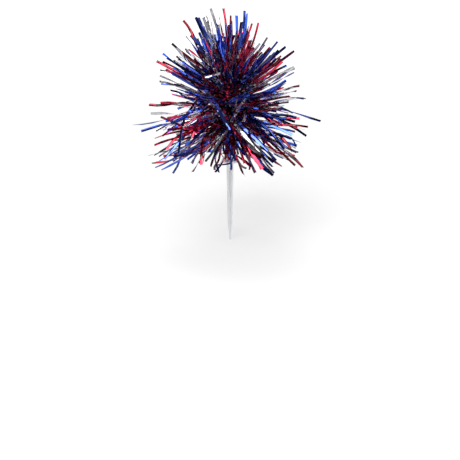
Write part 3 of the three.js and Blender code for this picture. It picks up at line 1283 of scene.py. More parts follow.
    def line(
        self, cut: FringeCut, share: float, straggler: tuple[np.ndarray, float] | None, dice: Dice
    ) -> StripLine:
        """Leads one strip of the solids from its root to its end.

        Args:
            cut: The fringe.
            share: Where the strip's root is on the way up the winding.
            straggler: Where its end would lie without ruffling and its length, if it is a straggler.
            dice: Numbers for its length, lean, curl and twist.

        Returns:
            The line.
        """
        length = self.strip_length + dice.swing(self.length_spread)
        sideways = dice.swing()
        upwards = dice.swing()
        curl = dice.next()
        twist = math.radians(self.twist) * dice.swing()
        if straggler is not None:
            end, length = straggler
            strip = self.regular(cut, share, length)
            miss = end - strip.root
            miss = miss - strip.direction * float(miss @ strip.direction)
            miss[2] += strip.droop
            sideways = clamp(float(miss @ strip.along) / max(strip.side_room, self.strip_gap), -1.0, 1.0)
            upwards = clamp(float(miss @ strip.over) / max(strip.rise_room, self.strip_gap), -1.0, 1.0)
        strip = self.regular(cut, share, length)
        way = np.linspace(0.0, 1.0, self.stations + 1)[:, None]
        wander = way + (way * way - way) * curl
        points = (
            strip.root
            + strip.direction * length * way
            + strip.along * strip.side_room * sideways * wander
            + strip.over * strip.rise_room * upwards * wander
            - np.array([0.0, 0.0, strip.droop]) * way * way
        )
        return StripLine(self.ruffled(points), strip.along, twist * way[:, 0])


@dataclass(frozen=True)
class Filling:
    """Further strips among those of the solids: their count as a share of these, and how freely they lie.

    Their lengths are in millimetres, their lean in degrees. Their climb is 1 where they are spread evenly up
    the winding, and less where more of them are near its top. Their bend is how far the end of a low one may
    be swept aside, in millimetres. The share of them that is lit is turned so that a viewer in front sees a
    softbox mirrored.
    """

    share: float
    lengths: tuple[float, float]
    lean: float
    climb: float
    bend: float
    lit: float


@dataclass
class Fringe:
    """One foil fringe: its wound band, the strips of the solids, and further strips that fill the burst.

    Lengths are in millimetres and angles in degrees. The pairs lean_low_to_high and bend_low_to_high hold a
    factor for the winding's bottom and one for its top. The pattern shift and the band's film are in strip
    widths: how far apart on the film's pattern the darkest and the lightest strip lie, and how much of it the
    band shows.
    """

    cut: FringeCut
    burst: Burst
    finish: FilmFinish
    film_thickness: float = 0.07
    cup: float = 0.12
    widths: tuple[float, float] = (1.65, 2.3)
    root_sunk: float = 0.7
    curl: float = 2.2
    bow_share: float = 0.6
    sway_share: float = 0.6
    flick_share: float = 0.5
    sway_waves: float = 0.75
    kink: float = 0.6
    kink_places: tuple[float, float] = (0.3, 0.8)
    steep: float = 0.6
    flat_share: float = 0.65
    loose_lean: float = 28.0
    loose_twist: float = 60.0
    wobble: float = 34.0
    wobble_waves: tuple[float, float] = (0.7, 2.2)
    facing_roll: float = 0.1
    facing_freedom: float = 0.3
    filling_roll: float = 150.0
    lean_low_to_high: tuple[float, float] = (1.3, 0.6)
    bend_low_to_high: tuple[float, float] = (1.0, 0.15)
    swept_over: tuple[float, float] = (-1.0, 0.5)
    crumpled: Filling = Filling(share=0.4, lengths=(10.0, 26.0), lean=60.0, climb=0.9, bend=30.0, lit=0.8)
    short: Filling = Filling(share=0.25, lengths=(18.0, 40.0), lean=38.0, climb=0.9, bend=14.0, lit=0.6)
    tangled: Filling = Filling(share=0.45, lengths=(30.0, 44.0), lean=40.0, climb=1.0, bend=44.0, lit=0.7)
    loose: Filling = Filling(share=0.4, lengths=(37.0, 50.0), lean=20.0, climb=0.7, bend=24.0, lit=0.1)
    front_strips: tuple[FrontStrip, ...] = ()
    pattern_shift: float = 311.0
    band_film: float = 90.0
    band_tone: float = 0.5
    band_sides: int = 8
    steps_a_turn: int = 22
    smooth_below: float = 35.0
    _master: bpy.types.Object | None = field(default=None, repr=False)

    def _strip_master(self) -> bpy.types.Object:
        """Models one strip as a flat bar, 1 wide, 1 thick and 1 long, cut into segments.

        Returns:
            The bar, which every strip is a copy of.
        """
        deselect_all()
        bpy.ops.mesh.primitive_cube_add(size=1.0, location=(0.0, 0.0, 0.5))
        master = bpy.context.active_object
        settle(master)
        with editing(master, "EDGE"):
            pick_edges(master, lambda first, second: abs(first.z - second.z) > 0.5)
            bpy.ops.mesh.subdivide(number_cuts=self.burst.stations - 1)
        with editing(master, "EDGE"):
            pick_edges(master, lambda first, second: abs(first.x - second.x) > 0.5)
            bpy.ops.mesh.subdivide(number_cuts=1)
        return master

    @staticmethod
    def _mark(
        mesh: bpy.types.Mesh, across: np.ndarray, along: np.ndarray, depth: np.ndarray, tone: float
    ) -> None:
        """Writes the film's map and the attributes that its finish reads.

        Args:
            mesh: Mesh of one strip or of the band.
            across: Place of each vertex across the film, from 0 to 1.
            along: Place of each vertex along the film, in strip widths.
            depth: How far each vertex is out of the winding, as a share of the usual strip's length.
            tone: How light the strip is, from 0 to 1.
        """
        corners = np.empty(len(mesh.loops), dtype=np.int32)
        mesh.loops.foreach_get("vertex_index", corners)
        while mesh.uv_layers:
            mesh.uv_layers.remove(mesh.uv_layers[0])
        film = mesh.uv_layers.new(name="film")
        film.data.foreach_set("uv", np.stack([across[corners], along[corners]], axis=1).ravel())
        values = {"tone": np.full(len(mesh.vertices), tone), "depth": depth}
        for name, value in values.items():
            attribute = mesh.attributes.new(name, "FLOAT", "POINT")
            attribute.data.foreach_set("value", value.astype(np.float32))

    def _lay(self, line: StripLine, width: float, tone: float) -> bpy.types.Object:
        """Copies the master strip and lays the copy along a line.

        Args:
            line: The line.
            width: The strip's width.
            tone: How light it is, from 0 to 1.

        Returns:
            The strip.
        """
        strip = self._master.copy()
        strip.data = self._master.data.copy()
        bpy.context.collection.objects.link(strip)
        mesh = strip.data
        bar = np.empty(len(mesh.vertices) * 3)
        mesh.vertices.foreach_get("co", bar)
        bar = bar.reshape(-1, 3)
        stations = self.burst.stations
        station = np.rint(bar[:, 2] * stations).astype(int)

        forward = unit(np.gradient(line.points, axis=0))
        side = unit(line.side - forward * np.sum(forward * line.side, axis=1, keepdims=True))
        over = np.cross(forward, side)
        turn = line.roll[:, None]
        flat = side * np.cos(turn) + over * np.sin(turn)
        normal = np.cross(forward, flat)
        cupped = self.cup * width * (0.5 - 2 * abs(bar[:, :1]))
        placed = (
            line.points[station]
            + flat[station] * bar[:, :1] * width
            + normal[station] * (bar[:, 1:2] * self.film_thickness + cupped)
        )
        mesh.vertices.foreach_set("co", (placed * MM).ravel())
        lengths = np.linalg.norm(np.diff(line.points, axis=0), axis=1)
        walked = np.concatenate([[0.0], np.cumsum(lengths)])[station] / width
        depth = bar[:, 2] * line.length / self.burst.strip_length
        self._mark(mesh, bar[:, 0] + 0.5, walked + tone * self.pattern_shift, depth, tone)
        return strip

    def _loosened(self, line: StripLine, dice: Dice) -> StripLine:
        """Sinks a line's start into the band, and gives it the small curl of a thin film.

        Args:
            line: The line.
            dice: Numbers for the curl and the kink.

        Returns:
            The loosened line.
        """
        way = np.linspace(0.0, 1.0, self.burst.stations + 1)[:, None]
        forward = line.forward
        over = np.cross(forward, line.side)
        bow = dice.swing(self.curl) * self.bow_share
        sway = dice.swing(self.curl) * self.sway_share
        flick = dice.swing(self.curl) * self.flick_share
        aside = dice.swing() ** 3 * self.kink * line.length * (1.0 - forward[2])
        kink_at = dice.between(*self.kink_places)
        points = (
            line.points
            + over * (bow * 4 * way * (1 - way) + flick * way**4)
            + line.side * sway * np.sin(way * FULL_TURN * self.sway_waves)
            + line.side * aside * np.maximum(way - kink_at, 0.0)
            - forward * self.root_sunk * (1 - way) ** 3
        )
        lean = math.radians(self.loose_lean) * dice.swing()
        twist = math.radians(self.loose_twist) * dice.swing()
        wave = FULL_TURN * (dice.between(*self.wobble_waves) * way[:, 0] + dice.next())
        turn = lean + twist * way[:, 0] + math.radians(self.wobble) * np.sin(wave)
        return StripLine(points, line.side, line.roll + turn * line.freedom, line.freedom)

    def _facing(self, line: StripLine, mirrored: Mirrored) -> StripLine:
        """Turns a line about its length to mirror a given thing to a viewer in front.

        Args:
            line: The line.
            mirrored: What is seen in it.

        Returns:
            The turned line, which keeps little of its roll and of its freedom.
        """
        side = mirroring_side(line.forward, mirrored)
        return StripLine(line.points, side, line.roll * self.facing_roll, self.facing_freedom)

    def _flattened(self, line: StripLine, dice: Dice) -> StripLine:
        """Turns a share of the steep strips flat to a viewer in front, as they lie side by side in a tuft.

        Args:
            line: The line.
            dice: Numbers for the choice.

        Returns:
            The line, turned about its length if it was chosen.
        """
        mirrored = dice.choice(FLAT_STRIPS_MIRROR)
        if dice.next() > self.flat_share or line.forward[2] < self.steep:
            return line
        return self._facing(line, mirrored)

    def _filling_line(self, filling: Filling, dice: Dice) -> StripLine:
        """Leads one of the further strips that fill the burst.

        Args:
            filling: How such strips lie.
            dice: Numbers for its root, lean and length.

        Returns:
            The line.
        """
        length = dice.between(*filling.lengths)
        share = dice.next() ** filling.climb
        strip = self.burst.regular(self.cut, share, length)
        lean = math.tan(math.radians(filling.lean)) * lerp(*self.lean_low_to_high, share)
        aside = strip.along * lean * dice.swing()
        direction = unit(strip.direction + aside + strip.over * lean * dice.swing())
        bend = filling.bend * lerp(*self.bend_low_to_high, share) * (length / self.burst.strip_length) ** 2
        swept = strip.along * bend * dice.swing() + strip.over * bend * dice.between(*self.swept_over)
        way = np.linspace(0.0, 1.0, self.burst.stations + 1)[:, None]
        drop = np.array([0.0, 0.0, strip.droop])
        points = strip.root + direction * length * way + (swept - drop) * way * way
        roll = math.radians(self.filling_roll) * dice.swing() * way[:, 0]
        line = StripLine(self.burst.ruffled(points), strip.along, roll)
        mirrored = dice.choice(SOFTBOXES_MIRRORED)
        return self._facing(line, mirrored) if dice.next() < filling.lit else line

    def _band(self) -> bpy.types.Object:
        """Winds the uncut edge of the film: a ring's profile screwed up the rod, then thickened to its build.

        Returns:
            The band.
        """
        burst = self.burst
        thickness = burst.middle_build
        deselect_all()
        bpy.ops.mesh.primitive_circle_add(
            vertices=self.band_sides, radius=0.5, rotation=(math.pi / 2, 0.0, 0.0)
        )
        band = bpy.context.active_object
        band.scale = (thickness * MM, burst.band_height * MM, 1.0)
        settle(band)
        with editing(band, "VERT"):
            bpy.ops.mesh.select_all(action="SELECT")
            bpy.ops.transform.translate(
                value=(
                    (burst.band_inner + thickness / 2) * MM,
                    0.0,
                    (burst.winding_bottom + burst.band_height / 2) * MM,
                )
            )
        steps = round(burst.turns * self.steps_a_turn)
        apply_modifier(
            band,
            "SCREW",
            axis="Z",
            angle=FULL_TURN * burst.turns,
            screw_offset=(burst.winding_height - burst.band_height) * MM,
            steps=steps,
            render_steps=steps,
            use_merge_vertices=False,
        )
        with editing(band, "EDGE"):
            bpy.ops.mesh.select_all(action="SELECT")
            bpy.ops.mesh.fill_holes(sides=self.band_sides)
            bpy.ops.mesh.select_all(action="SELECT")
            bpy.ops.mesh.normals_make_consistent(inside=False)
        self._build_up(band)
        return band

    def _build_up(self, band: bpy.types.Object) -> None:
        """Thins the band towards both ends of the winding, turns it to its start, and marks its film.

        Args:
            band: The band.
        """
        burst = self.burst
        mesh = band.data
        points = np.empty(len(mesh.vertices) * 3)
        mesh.vertices.foreach_get("co", points)
        points = points.reshape(-1, 3) / MM
        radius = np.hypot(points[:, 0], points[:, 1])
        share = np.clip((points[:, 2] - burst.winding_bottom) / burst.winding_height, 0.0, 1.0)
        build = burst.middle_build + (burst.end_build - burst.middle_build) * (2 * share - 1) ** 2
        outwards = (radius - burst.band_inner) / burst.middle_build
        turned = np.arctan2(points[:, 1], points[:, 0]) + math.radians(self.cut.start)
        thinned = burst.band_inner + outwards * build
        points[:, 0] = thinned * np.cos(turned)
        points[:, 1] = thinned * np.sin(turned)
        mesh.vertices.foreach_set("co", (points * MM).ravel())
        self._mark(mesh, outwards, share * self.band_film, np.zeros(len(points)), self.band_tone)

    def build(self) -> bpy.types.Object:
        """Winds the band, lays all the strips and joins them.

        Returns:
            The finished piece.
        """
        cut, burst = self.cut, self.burst
        colour = cut.foil.value
        self._master = self._strip_master()
        spread = Dice(cut.seed)
        loose = Dice(cut.seed * LOOSE_SEED[0] + LOOSE_SEED[1])
        flat = Dice(cut.seed * FLAT_SEED[0] + FLAT_SEED[1])
        stragglers = burst.stragglers_by_strip(cut)
        lines = []
        for strip in range(cut.strips):
            share = (strip + 0.5) / cut.strips
            line = self._flattened(burst.line(cut, share, stragglers.get(strip), spread), flat)
            lines.append(self._loosened(line, loose))
        for filling in (self.crumpled, self.short, self.tangled, self.loose):
            for _ in range(round(cut.strips * filling.share)):
                lines.append(self._loosened(self._filling_line(filling, loose), loose))
        strips = [self._lay(line, loose.between(*self.widths), loose.next()) for line in lines]
        for front in self.front_strips:
            if front.foil is cut.foil:
                strips.append(self._lay(front.line(burst.stations), front.width, front.tone))
        band = self._band()
        bpy.data.objects.remove(self._master)
        band.name = f"{colour}_film"
        take(band, *strips)
        bpy.ops.object.join()
        smooth(band, self.smooth_below)
        dress(band, self.finish.material(), f"{colour}_foil_fringe")
        return band


# Studio


@dataclass(frozen=True)
class Softbox:
    """A square area lamp that looks at the burst, with its size in metres and its power in watts."""

    name: str
    place: Triple
    size: float
    power: float
    target: Triple = (0.0, 0.0, 0.04)

    def build(self) -> None:
        """Adds the lamp."""
        data = bpy.data.lights.new(self.name, "AREA")
        data.shape = "SQUARE"
        data.size = self.size
        data.energy = self.power
        lamp = bpy.data.objects.new(self.name, data)
        lamp.location = self.place
        gaze = Vector(self.target) - Vector(self.place)
        lamp.rotation_euler = gaze.to_track_quat("-Z", "Y").to_euler()
        bpy.context.collection.objects.link(lamp)


@dataclass
class Studio:
    """A white table and backdrop under softboxes, in an otherwise dim room.

    The table's glow grows from near to far, between two squares of the distance from the pick. What film and
    plastic mirror of the room is white behind the pick, up to the backdrop's top, and dim elsewhere.
    """

    table_height: float = -66.0 * MM
    table_size: float = 14.0
    table_colour: Colour = (0.82, 0.82, 0.82)
    near_glow: float = 0.13
    far_glow: float = 0.5
    glow_limits: tuple[float, float] = (0.02, 1.0)
    fill: float = 0.62
    dim: float = 0.06
    backdrop_front: tuple[float, float] = (0.25, 0.35)
    backdrop_top: tuple[float, float] = (0.3, 0.42)
    softboxes: tuple[Softbox, ...] = (
        Softbox("key_softbox", (-0.35, -1.05, 1.3), 0.95, 11.0),
        Softbox("right_softbox", (1.35, -0.55, 0.7), 0.55, 4.0),
        Softbox("left_softbox", (-1.3, -0.7, 0.45), 0.5, 3.0),
        Softbox("near_softbox", (0.7, -1.25, 0.35), 0.45, 3.5),
        Softbox("top_softbox", (-0.1, 0.5, 1.4), 0.65, 4.0),
    )

    def _table(self) -> None:
        """Lays the white table, whose glow grows with distance, so that it keeps the shadow near the pick."""
        deselect_all()
        bpy.ops.mesh.primitive_plane_add(size=self.table_size, location=(0.0, 0.0, self.table_height))
        table = bpy.context.active_object
        table.name = "table"
        material, graph = new_material("white_table")
        path = graph.node("ShaderNodeLightPath")
        seen = path["Is Camera Ray"] + path["Is Glossy Ray"] + path["Is Transmission Ray"]
        place = graph.parts_of(graph.node("ShaderNodeTexCoord")["Object"])
        far = (place["X"] * place["X"] + place["Y"] * place["Y"]).step(*self.glow_limits)
        level = seen * (self.near_glow + (self.far_glow - self.near_glow) * far)
        matt = graph.node("ShaderNodeBsdfDiffuse", None, {"Color": (*self.table_colour, 1.0)})
        glow = graph.node("ShaderNodeEmission", None, {"Color": WHITE, "Strength": level})
        both = graph.node("ShaderNodeAddShader", None, {0: matt[0], 1: glow[0]})
        surface_from(graph, both[0])
        table.data.materials.append(material)

    def _room(self) -> None:
        """Sets the world: white to the camera, and to film and plastic white behind the pick, else dim."""
        world = bpy.data.worlds.new("studio_room")
        bpy.context.scene.world = world
        world.use_nodes = True
        graph = Graph(world.node_tree)
        path = graph.node("ShaderNodeLightPath")
        gaze = graph.parts_of(graph.node("ShaderNodeTexCoord")["Generated"])
        backdrop = gaze["Y"].step(*self.backdrop_front) * (1.0 - gaze["Z"].step(*self.backdrop_top))
        mirrored = self.dim + (1.0 - self.dim) * backdrop
        sharp = path["Is Glossy Ray"] + path["Is Transmission Ray"]
        level = self.fill + sharp * (mirrored - self.fill)
        level = level + path["Is Camera Ray"] * (1.0 - level)
        background = graph.node("ShaderNodeBackground", None, {"Color": WHITE, "Strength": level})
        graph.node("ShaderNodeOutputWorld", None, {"Surface": background[0]})

    def build(self) -> None:
        """Sets up the table, the room and the lamps."""
        self._table()
        self._room()
        for softbox in self.softboxes:
            softbox.build()


@dataclass(frozen=True)
class PhotoCamera:
    """The camera, where the photograph was taken from, with its lens and sensor in millimetres."""

    place: Triple = (0.0, -0.7305, 0.2147)
    looks_down: float = 20.46
    lens: float = 75.04
    sensor: float = 36.0
    nearest: float = 0.01
    farthest: float = 50.0

    def build(self) -> None:
        """Adds the camera and makes it the scene's."""
        data = bpy.data.cameras.new("photo_camera")
        data.lens = self.lens
        data.sensor_width = self.sensor
        data.clip_start = self.nearest
        data.clip_end = self.farthest
        camera = bpy.data.objects.new("photo_camera", data)
        camera.location = self.place
        camera.rotation_euler = (math.radians(90.0 - self.looks_down), 0.0, 0.0)
        bpy.context.collection.objects.link(camera)
        bpy.context.scene.camera = camera


# The object

BLUE_CUT = FringeCut(
    foil=Foil.BLUE,
    strips=117,
    start=0.0,
    seed=7,
    stragglers=(
        (-34, 85, 1.55),
        (161, 78, 1.54),
        (22, 77, 1.55),
        (-98, 76, 1.46),
        (-164, 72, 1.57),
        (49, 59, 1.09),
        (156, 57, 1.35),
        (-167, 51, 1.45),
        (12, 48, 1.21),
        (7, 38, 1.29),
        (0, 29, 1.25),
        (176, 22, 1.29),
        (-153, 18, 1.09),
        (-5, 14, 1.38),
        (7, 13, 1.37),
        (5, -7, 1.08),
        (-174, -4, 1.43),
        (172, -11, 1.61),
        (-14, -16, 1.26),
        (9, -27, 1.2),
        (-18, -28, 1.28),
        (-32, -29, 1.19),
        (-145, -32, 1.31),
        (-50, -33, 1.33),
        (-159, -34, 1.41),
        (-54, -39, 1.48),
    ),
)
RED_CUT = FringeCut(
    foil=Foil.RED,
    strips=107,
    start=120.0,
    seed=19,
    stragglers=(
        (56, 79, 1.38),
        (-28, 76, 1.49),
        (165, 65, 1.61),
        (23, 60, 1.12),
        (0, 57, 1.14),
        (-15, 47, 1.22),
        (-15, 38, 1.22),
        (-167, 32, 1.31),
        (-160, 22, 1.22),
        (180, 2, 1.48),
        (-7, 1, 1.1),
        (-52, -20, 1.15),
        (-174, -27, 1.41),
        (-25, -31, 1.29),
        (-84, -34, 1.18),
        (-157, -35, 1.57),
        (-63, -35, 1.34),
    ),
)
SILVER_CUT = FringeCut(
    foil=Foil.SILVER,
    strips=76,
    start=240.0,
    seed=43,
    stragglers=(
        (180, 82, 1.53),
        (-161, 42, 1.39),
        (173, 41, 1.4),
        (170, 31, 1.37),
        (13, 14, 1.34),
        (168, -9, 1.4),
        (6, -19, 1.3),
        (-64, -27, 1.22),
        (-119, -37, 1.22),
        (-113, -38, 1.22),
    ),
)

# A strip's last number, where given, is its tone, which mostly goes with what it mirrors: a painted
# reflection, dark for the room and light for the key
FRONT_STRIPS = (
    FrontStrip(
        Foil.SILVER, 2.0, ((-12, -10, 51), (-8, -30, 50), (-4, -42, 47)),
        Mirrored.KEY, Mirrored.KEY, 1.0,
    ),
    FrontStrip(
        Foil.BLUE, 1.1, ((4, -6, 32), (19, -22, 26), (34, -32, 30), (45, -38, 30), (49, -41, 24)),
        Mirrored.ROOM, Mirrored.ROOM, 0.1,
    ),
    FrontStrip(
        Foil.RED, 1.0, ((5, -6, 31), (29, -23, 28), (37, -33, 28), (44, -40, 24), (46, -42, 20)),
        Mirrored.ROOM, Mirrored.ROOM, 0.1,
    ),
    FrontStrip(
        Foil.BLUE, 1.1, ((4, -6, 42), (19, -28, 42), (25, -35, 39), (32, -41, 33), (40, -46, 23)),
        Mirrored.ROOM, Mirrored.ROOM, 0.0,
    ),
    FrontStrip(
        Foil.BLUE, 1.0, ((5, -6, 38), (25, -30, 37), (32, -38, 32), (42, -45, 24)),
        Mirrored.ROOM, Mirrored.ROOM, 0.1,
    ),
    FrontStrip(
        Foil.RED, 1.7, ((-5, -6, 36), (-26, -25, 34), (-36, -31, 37), (-42, -36, 41), (-51, -40, 46)),
        Mirrored.ROOM, Mirrored.ROOM, 0.0,
    ),
    FrontStrip(
        Foil.SILVER, 3.2, ((2, -7, 37), (4, -36, 40), (8, -47, 36), (23, -55, 22)),
        Mirrored.ROOM, Mirrored.KEY,
    ),
    FrontStrip(
        Foil.BLUE, 2.1, ((3, -7, 40), (7, -30, 39), (15, -38, 32), (24, -44, 25), (34, -49, 15)),
        Mirrored.ROOM, Mirrored.KEY, 1.0,
    ),
    FrontStrip(
        Foil.BLUE, 1.9, ((5, -7, 37), (15, -33, 27), (25, -43, 19), (32, -50, 14)),
        Mirrored.ROOM, Mirrored.ROOM, 0.1,
    ),
    FrontStrip(
        Foil.RED, 2.1, ((-1, -7, 31), (1, -38, 29), (3, -49, 23), (5, -58, 18)),
        Mirrored.ROOM, Mirrored.KEY, 1.0,
    ),
    FrontStrip(
        Foil.BLUE, 1.8, ((-3, -7, 32), (-2, -38, 29), (1, -49, 24), (4, -58, 18)),
        Mirrored.ROOM, Mirrored.KEY, 0.8,
    ),
    FrontStrip(
        Foil.RED, 2.6, ((2, -7, 34), (7, -36, 29), (15, -47, 21), (24, -55, 11)),
        Mirrored.ROOM, Mirrored.KEY, 0.8,
    ),
    FrontStrip(
        Foil.BLUE, 1.8, ((5, -7, 29), (17, -33, 14), (24, -43, 8), (32, -50, 4)),
        Mirrored.ROOM, Mirrored.KEY, 1.0,
    ),
    FrontStrip(
        Foil.RED, 1.9, ((4, -7, 31), (13, -42, 23), (23, -55, 19)),
        Mirrored.ROOM, Mirrored.ROOM, 0.1,
    ),
    FrontStrip(
        Foil.SILVER, 1.7, ((1, -7, 39), (-1, -34, 36), (-7, -44, 30), (-13, -52, 22), (-18, -58, 17)),
        Mirrored.ROOM, Mirrored.KEY, 0.7,
    ),
    FrontStrip(
        Foil.SILVER, 2.0, ((-3, -7, 34), (-10, -36, 29), (-17, -47, 23), (-23, -55, 15)),
        Mirrored.TABLE, Mirrored.ROOM, 0.5,
    ),
    FrontStrip(
        Foil.SILVER, 1.8, ((-5, -7, 32), (-12, -37, 27), (-18, -48, 22), (-20, -56, 15)),
        Mirrored.ROOM, Mirrored.TABLE, 0.5,
    ),
    FrontStrip(
        Foil.BLUE, 2.1, ((-3, -7, 31), (-12, -27, 26), (-23, -35, 20), (-32, -40, 18), (-42, -45, 17)),
        Mirrored.ROOM, Mirrored.KEY, 1.0,
    ),
    FrontStrip(
        Foil.BLUE, 1.9, ((-6, -7, 29), (-16, -31, 26), (-25, -40, 24), (-39, -46, 19)),
        Mirrored.ROOM, Mirrored.TABLE, 0.2,
    ),
    FrontStrip(
        Foil.RED, 1.8, ((-5, -7, 28), (-8, -44, 25), (-4, -58, 18)),
        Mirrored.ROOM, Mirrored.TABLE, 0.4,
    ),
    FrontStrip(
        Foil.RED, 1.9, ((-2, -7, 28), (-5, -44, 23), (0, -58, 18)),
        Mirrored.TABLE, Mirrored.ROOM, 0.4,
    ),
    FrontStrip(
        Foil.BLUE, 1.9, ((1, -7, 31), (4, -44, 28), (11, -58, 22)),
        Mirrored.ROOM, Mirrored.KEY, 0.5,
    ),
    FrontStrip(
        Foil.RED, 2.2, ((-6, -7, 46), (-2, -38, 44), (4, -49, 37), (8, -58, 34)),
        Mirrored.ROOM, Mirrored.KEY, 0.5,
    ),
    FrontStrip(
        Foil.BLUE, 2.5, ((-15, -7, 54), (-10, -38, 54), (-6, -49, 49), (0, -58, 41)),
        Mirrored.KEY, Mirrored.KEY, 1.0,
    ),
    FrontStrip(
        Foil.SILVER, 2.2, ((8, -7, 48), (4, -44, 49), (1, -58, 47)),
        Mirrored.KEY, Mirrored.KEY,
    ),
    FrontStrip(
        Foil.SILVER, 1.8, ((14, -7, 54), (8, -44, 56), (6, -58, 54)),
        Mirrored.ROOM, Mirrored.KEY,
    ),
    FrontStrip(
        Foil.RED, 1.9, ((-12, -7, 37), (-20, -29, 37), (-30, -37, 37), (-46, -43, 37)),
        Mirrored.KEY, Mirrored.KEY, 1.0,
    ),
    FrontStrip(
        Foil.BLUE, 1.9, ((-19, -7, 34), (-30, -28, 32), (-37, -35, 27), (-49, -41, 14)),
        Mirrored.ROOM, Mirrored.KEY, 1.0,
    ),
    FrontStrip(
        Foil.RED, 2.0, ((-18, -7, 48), (-22, -35, 45), (-25, -45, 41), (-28, -52, 33)),
        Mirrored.TABLE, Mirrored.KEY, 0.7,
    ),
    FrontStrip(
        Foil.RED, 2.0, ((-14, -7, 32), (-26, -29, 33), (-39, -36, 30), (-47, -42, 22)),
        Mirrored.ROOM, Mirrored.KEY, 0.8,
    ),
    FrontStrip(
        Foil.BLUE, 2.1, ((-14, -7, 46), (-26, -30, 49), (-35, -38, 45), (-43, -45, 42)),
        Mirrored.ROOM, Mirrored.KEY, 1.0,
    ),
    FrontStrip(
        Foil.RED, 1.8, ((-11, -7, 31), (-19, -37, 29), (-21, -48, 23), (-21, -56, 14)),
        Mirrored.ROOM, Mirrored.KEY, 0.8,
    ),
    FrontStrip(
        Foil.BLUE, 1.8, ((-26, -7, 50), (-33, -31, 44), (-36, -40, 35), (-38, -47, 20)),
        Mirrored.ROOM, Mirrored.ROOM, 0.0,
    ),
    FrontStrip(
        Foil.BLUE, 1.8, ((8, -7, 32), (21, -29, 28), (33, -37, 33), (45, -43, 30)),
        Mirrored.TABLE, Mirrored.ROOM, 0.2,
    ),
    FrontStrip(
        Foil.BLUE, 2.0, ((8, -7, 40), (21, -29, 40), (33, -37, 38), (46, -43, 33)),
        Mirrored.ROOM, Mirrored.KEY, 0.9,
    ),
    FrontStrip(
        Foil.BLUE, 1.8, ((9, -7, 42), (21, -31, 41), (31, -39, 33), (40, -46, 23)),
        Mirrored.ROOM, Mirrored.ROOM, 0.1,
    ),
    FrontStrip(
        Foil.RED, 1.8, ((11, -7, 39), (24, -29, 36), (37, -37, 31), (45, -43, 23)),
        Mirrored.ROOM, Mirrored.ROOM, 0.1,
    ),
    FrontStrip(
        Foil.SILVER, 1.9, ((0, -8, 68), (-5, -24, 75), (-13, -32, 75), (-20, -38, 74)),
        Mirrored.ROOM, Mirrored.RIGHT, 0.6,
    ),
    FrontStrip(
        Foil.SILVER, 1.9, ((2, -6, 66), (5, -8, 80), (8, -10, 91)),
        Mirrored.ROOM, Mirrored.KEY,
    ),
    FrontStrip(
        Foil.RED, 2.0, ((-3, -8, 54), (-4, -14, 71), (-2, -16, 87)),
        Mirrored.KEY, Mirrored.ROOM, 0.7,
    ),
    FrontStrip(
        Foil.RED, 2.0, ((-2, -8, 48), (-2, -16, 55), (-1, -22, 65)),
        Mirrored.KEY, Mirrored.KEY, 1.0,
    ),
)

TUFTS = (
    Tuft(180, 84, width=30, pull=0.14, growth=0.03),
    Tuft(-176, 70, width=12, pull=0.4, growth=0.1),
    Tuft(-8, 79, width=11, pull=0.0, growth=0.04),
    Tuft(6, 63, width=12, pull=0.0, growth=-0.4),
    Tuft(-8, 46, width=14, pull=0.5, growth=0.06),
    Tuft(-12, 28, width=13, pull=0.5, growth=0.1),
    Tuft(0, 7, width=13, pull=0.0, growth=-0.24),
    Tuft(-6, -13, width=14, pull=0.5, growth=0.14),
    Tuft(-20, -33, width=14, pull=0.4, growth=0.14),
    Tuft(180, 55, width=10, pull=0.0, growth=-0.24),
    Tuft(178, 33, width=17, pull=0.35, growth=0.12),
    Tuft(-170, 18, width=13, pull=0.4, growth=0.12),
    Tuft(180, 0, width=13, pull=0.0, growth=-0.2),
    Tuft(-170, -15, width=13, pull=0.5, growth=0.16),
    Tuft(-150, -33, width=16, pull=0.4, growth=0.16),
    Tuft(-122, 16, width=18, pull=0.5, growth=0.0),
    Tuft(-84, 42, width=18, pull=0.5, growth=0.0),
    Tuft(-56, 8, width=18, pull=0.5, growth=0.0),
    Tuft(-90, -18, width=16, pull=0.5, growth=0.05),
    Tuft(-122, -30, width=13, pull=0.4, growth=0.1),
    Tuft(-55, -33, width=13, pull=0.4, growth=0.12),
    Tuft(60, 40, width=16, pull=0.5, growth=0.0),
    Tuft(115, 20, width=16, pull=0.5, growth=0.0),
    Tuft(55, -5, width=16, pull=0.5, growth=0.04),
    Tuft(100, -26, width=16, pull=0.4, growth=0.08),
    Tuft(130, 55, width=16, pull=0.5, growth=0.0),
)

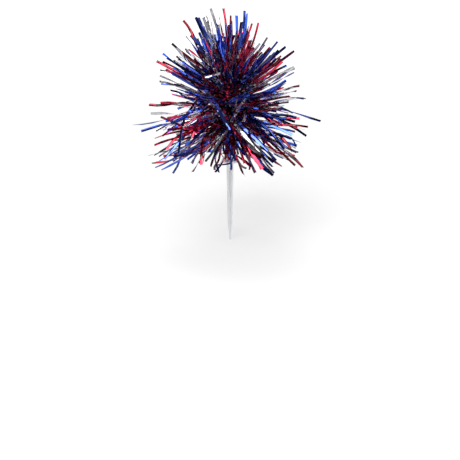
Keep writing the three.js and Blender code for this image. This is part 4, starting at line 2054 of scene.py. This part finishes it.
# The second colour of each film is partly a darker tone, partly a painted dark reflection; the third is the
# colour of painted highlights and glints
BLUE_FILM = FilmFinish(
    "royal_blue_film", colour=(0.045, 0.145, 0.85), dark_tone_and_reflection=(0.006, 0.024, 0.19), highlight_colour=(0.15, 0.24, 1.0)
)
RED_FILM = FilmFinish(
    "deep_red_film", colour=(0.75, 0.03, 0.08), dark_tone_and_reflection=(0.12, 0.003, 0.01), highlight_colour=(1.0, 0.04, 0.16)
)
SILVER_FILM = FilmFinish(
    "bare_silver_film", colour=(0.9, 0.9, 0.92), dark_tone_and_reflection=(0.2, 0.19, 0.22), highlight_colour=(0.97, 0.97, 0.98)
)
CLEAR_STYRENE = MouldedFinish(
    "milky_clear_styrene", (0.93, 0.94, 0.95), (0.88, 0.9, 0.92), roughness=0.3, transmission=0.4
)
CLEAR_ROD = MouldedFinish(
    "milky_clear_rod",
    (0.93, 0.94, 0.95),
    (0.88, 0.9, 0.92),
    roughness=0.26,
    transmission=0.4,
    flow=(1.0, 1.0, 0.04),
)
WHITE_MOULDING = MouldedFinish(
    "white_moulding", (0.88, 0.88, 0.86), (0.8, 0.8, 0.78), roughness=0.36, transmission=0.0
)
PALE_TAPE = TapeFinish("pale_tape", (0.84, 0.79, 0.66), (0.74, 0.68, 0.54))


def main() -> None:
    """Builds the pick and the studio in order."""
    logging.basicConfig(level=logging.INFO, format="%(name)s: %(message)s")
    burst = Burst(tufts=TUFTS)
    foils = ((BLUE_CUT, BLUE_FILM), (RED_CUT, RED_FILM), (SILVER_CUT, SILVER_FILM))
    parts = (
        Stake(CLEAR_STYRENE),
        Rod(CLEAR_ROD),
        Collar(WHITE_MOULDING),
        Tape(PALE_TAPE),
        Cap(WHITE_MOULDING),
        *(Fringe(cut, burst, finish, front_strips=FRONT_STRIPS) for cut, finish in foils),
    )
    for part in parts:
        piece = part.build()
        log.info("%s: %d faces", piece.name, len(piece.data.polygons))
    Studio().build()
    PhotoCamera().build()
    bpy.context.scene.view_settings.view_transform = "Standard"


if __name__ == "__main__":
    main()
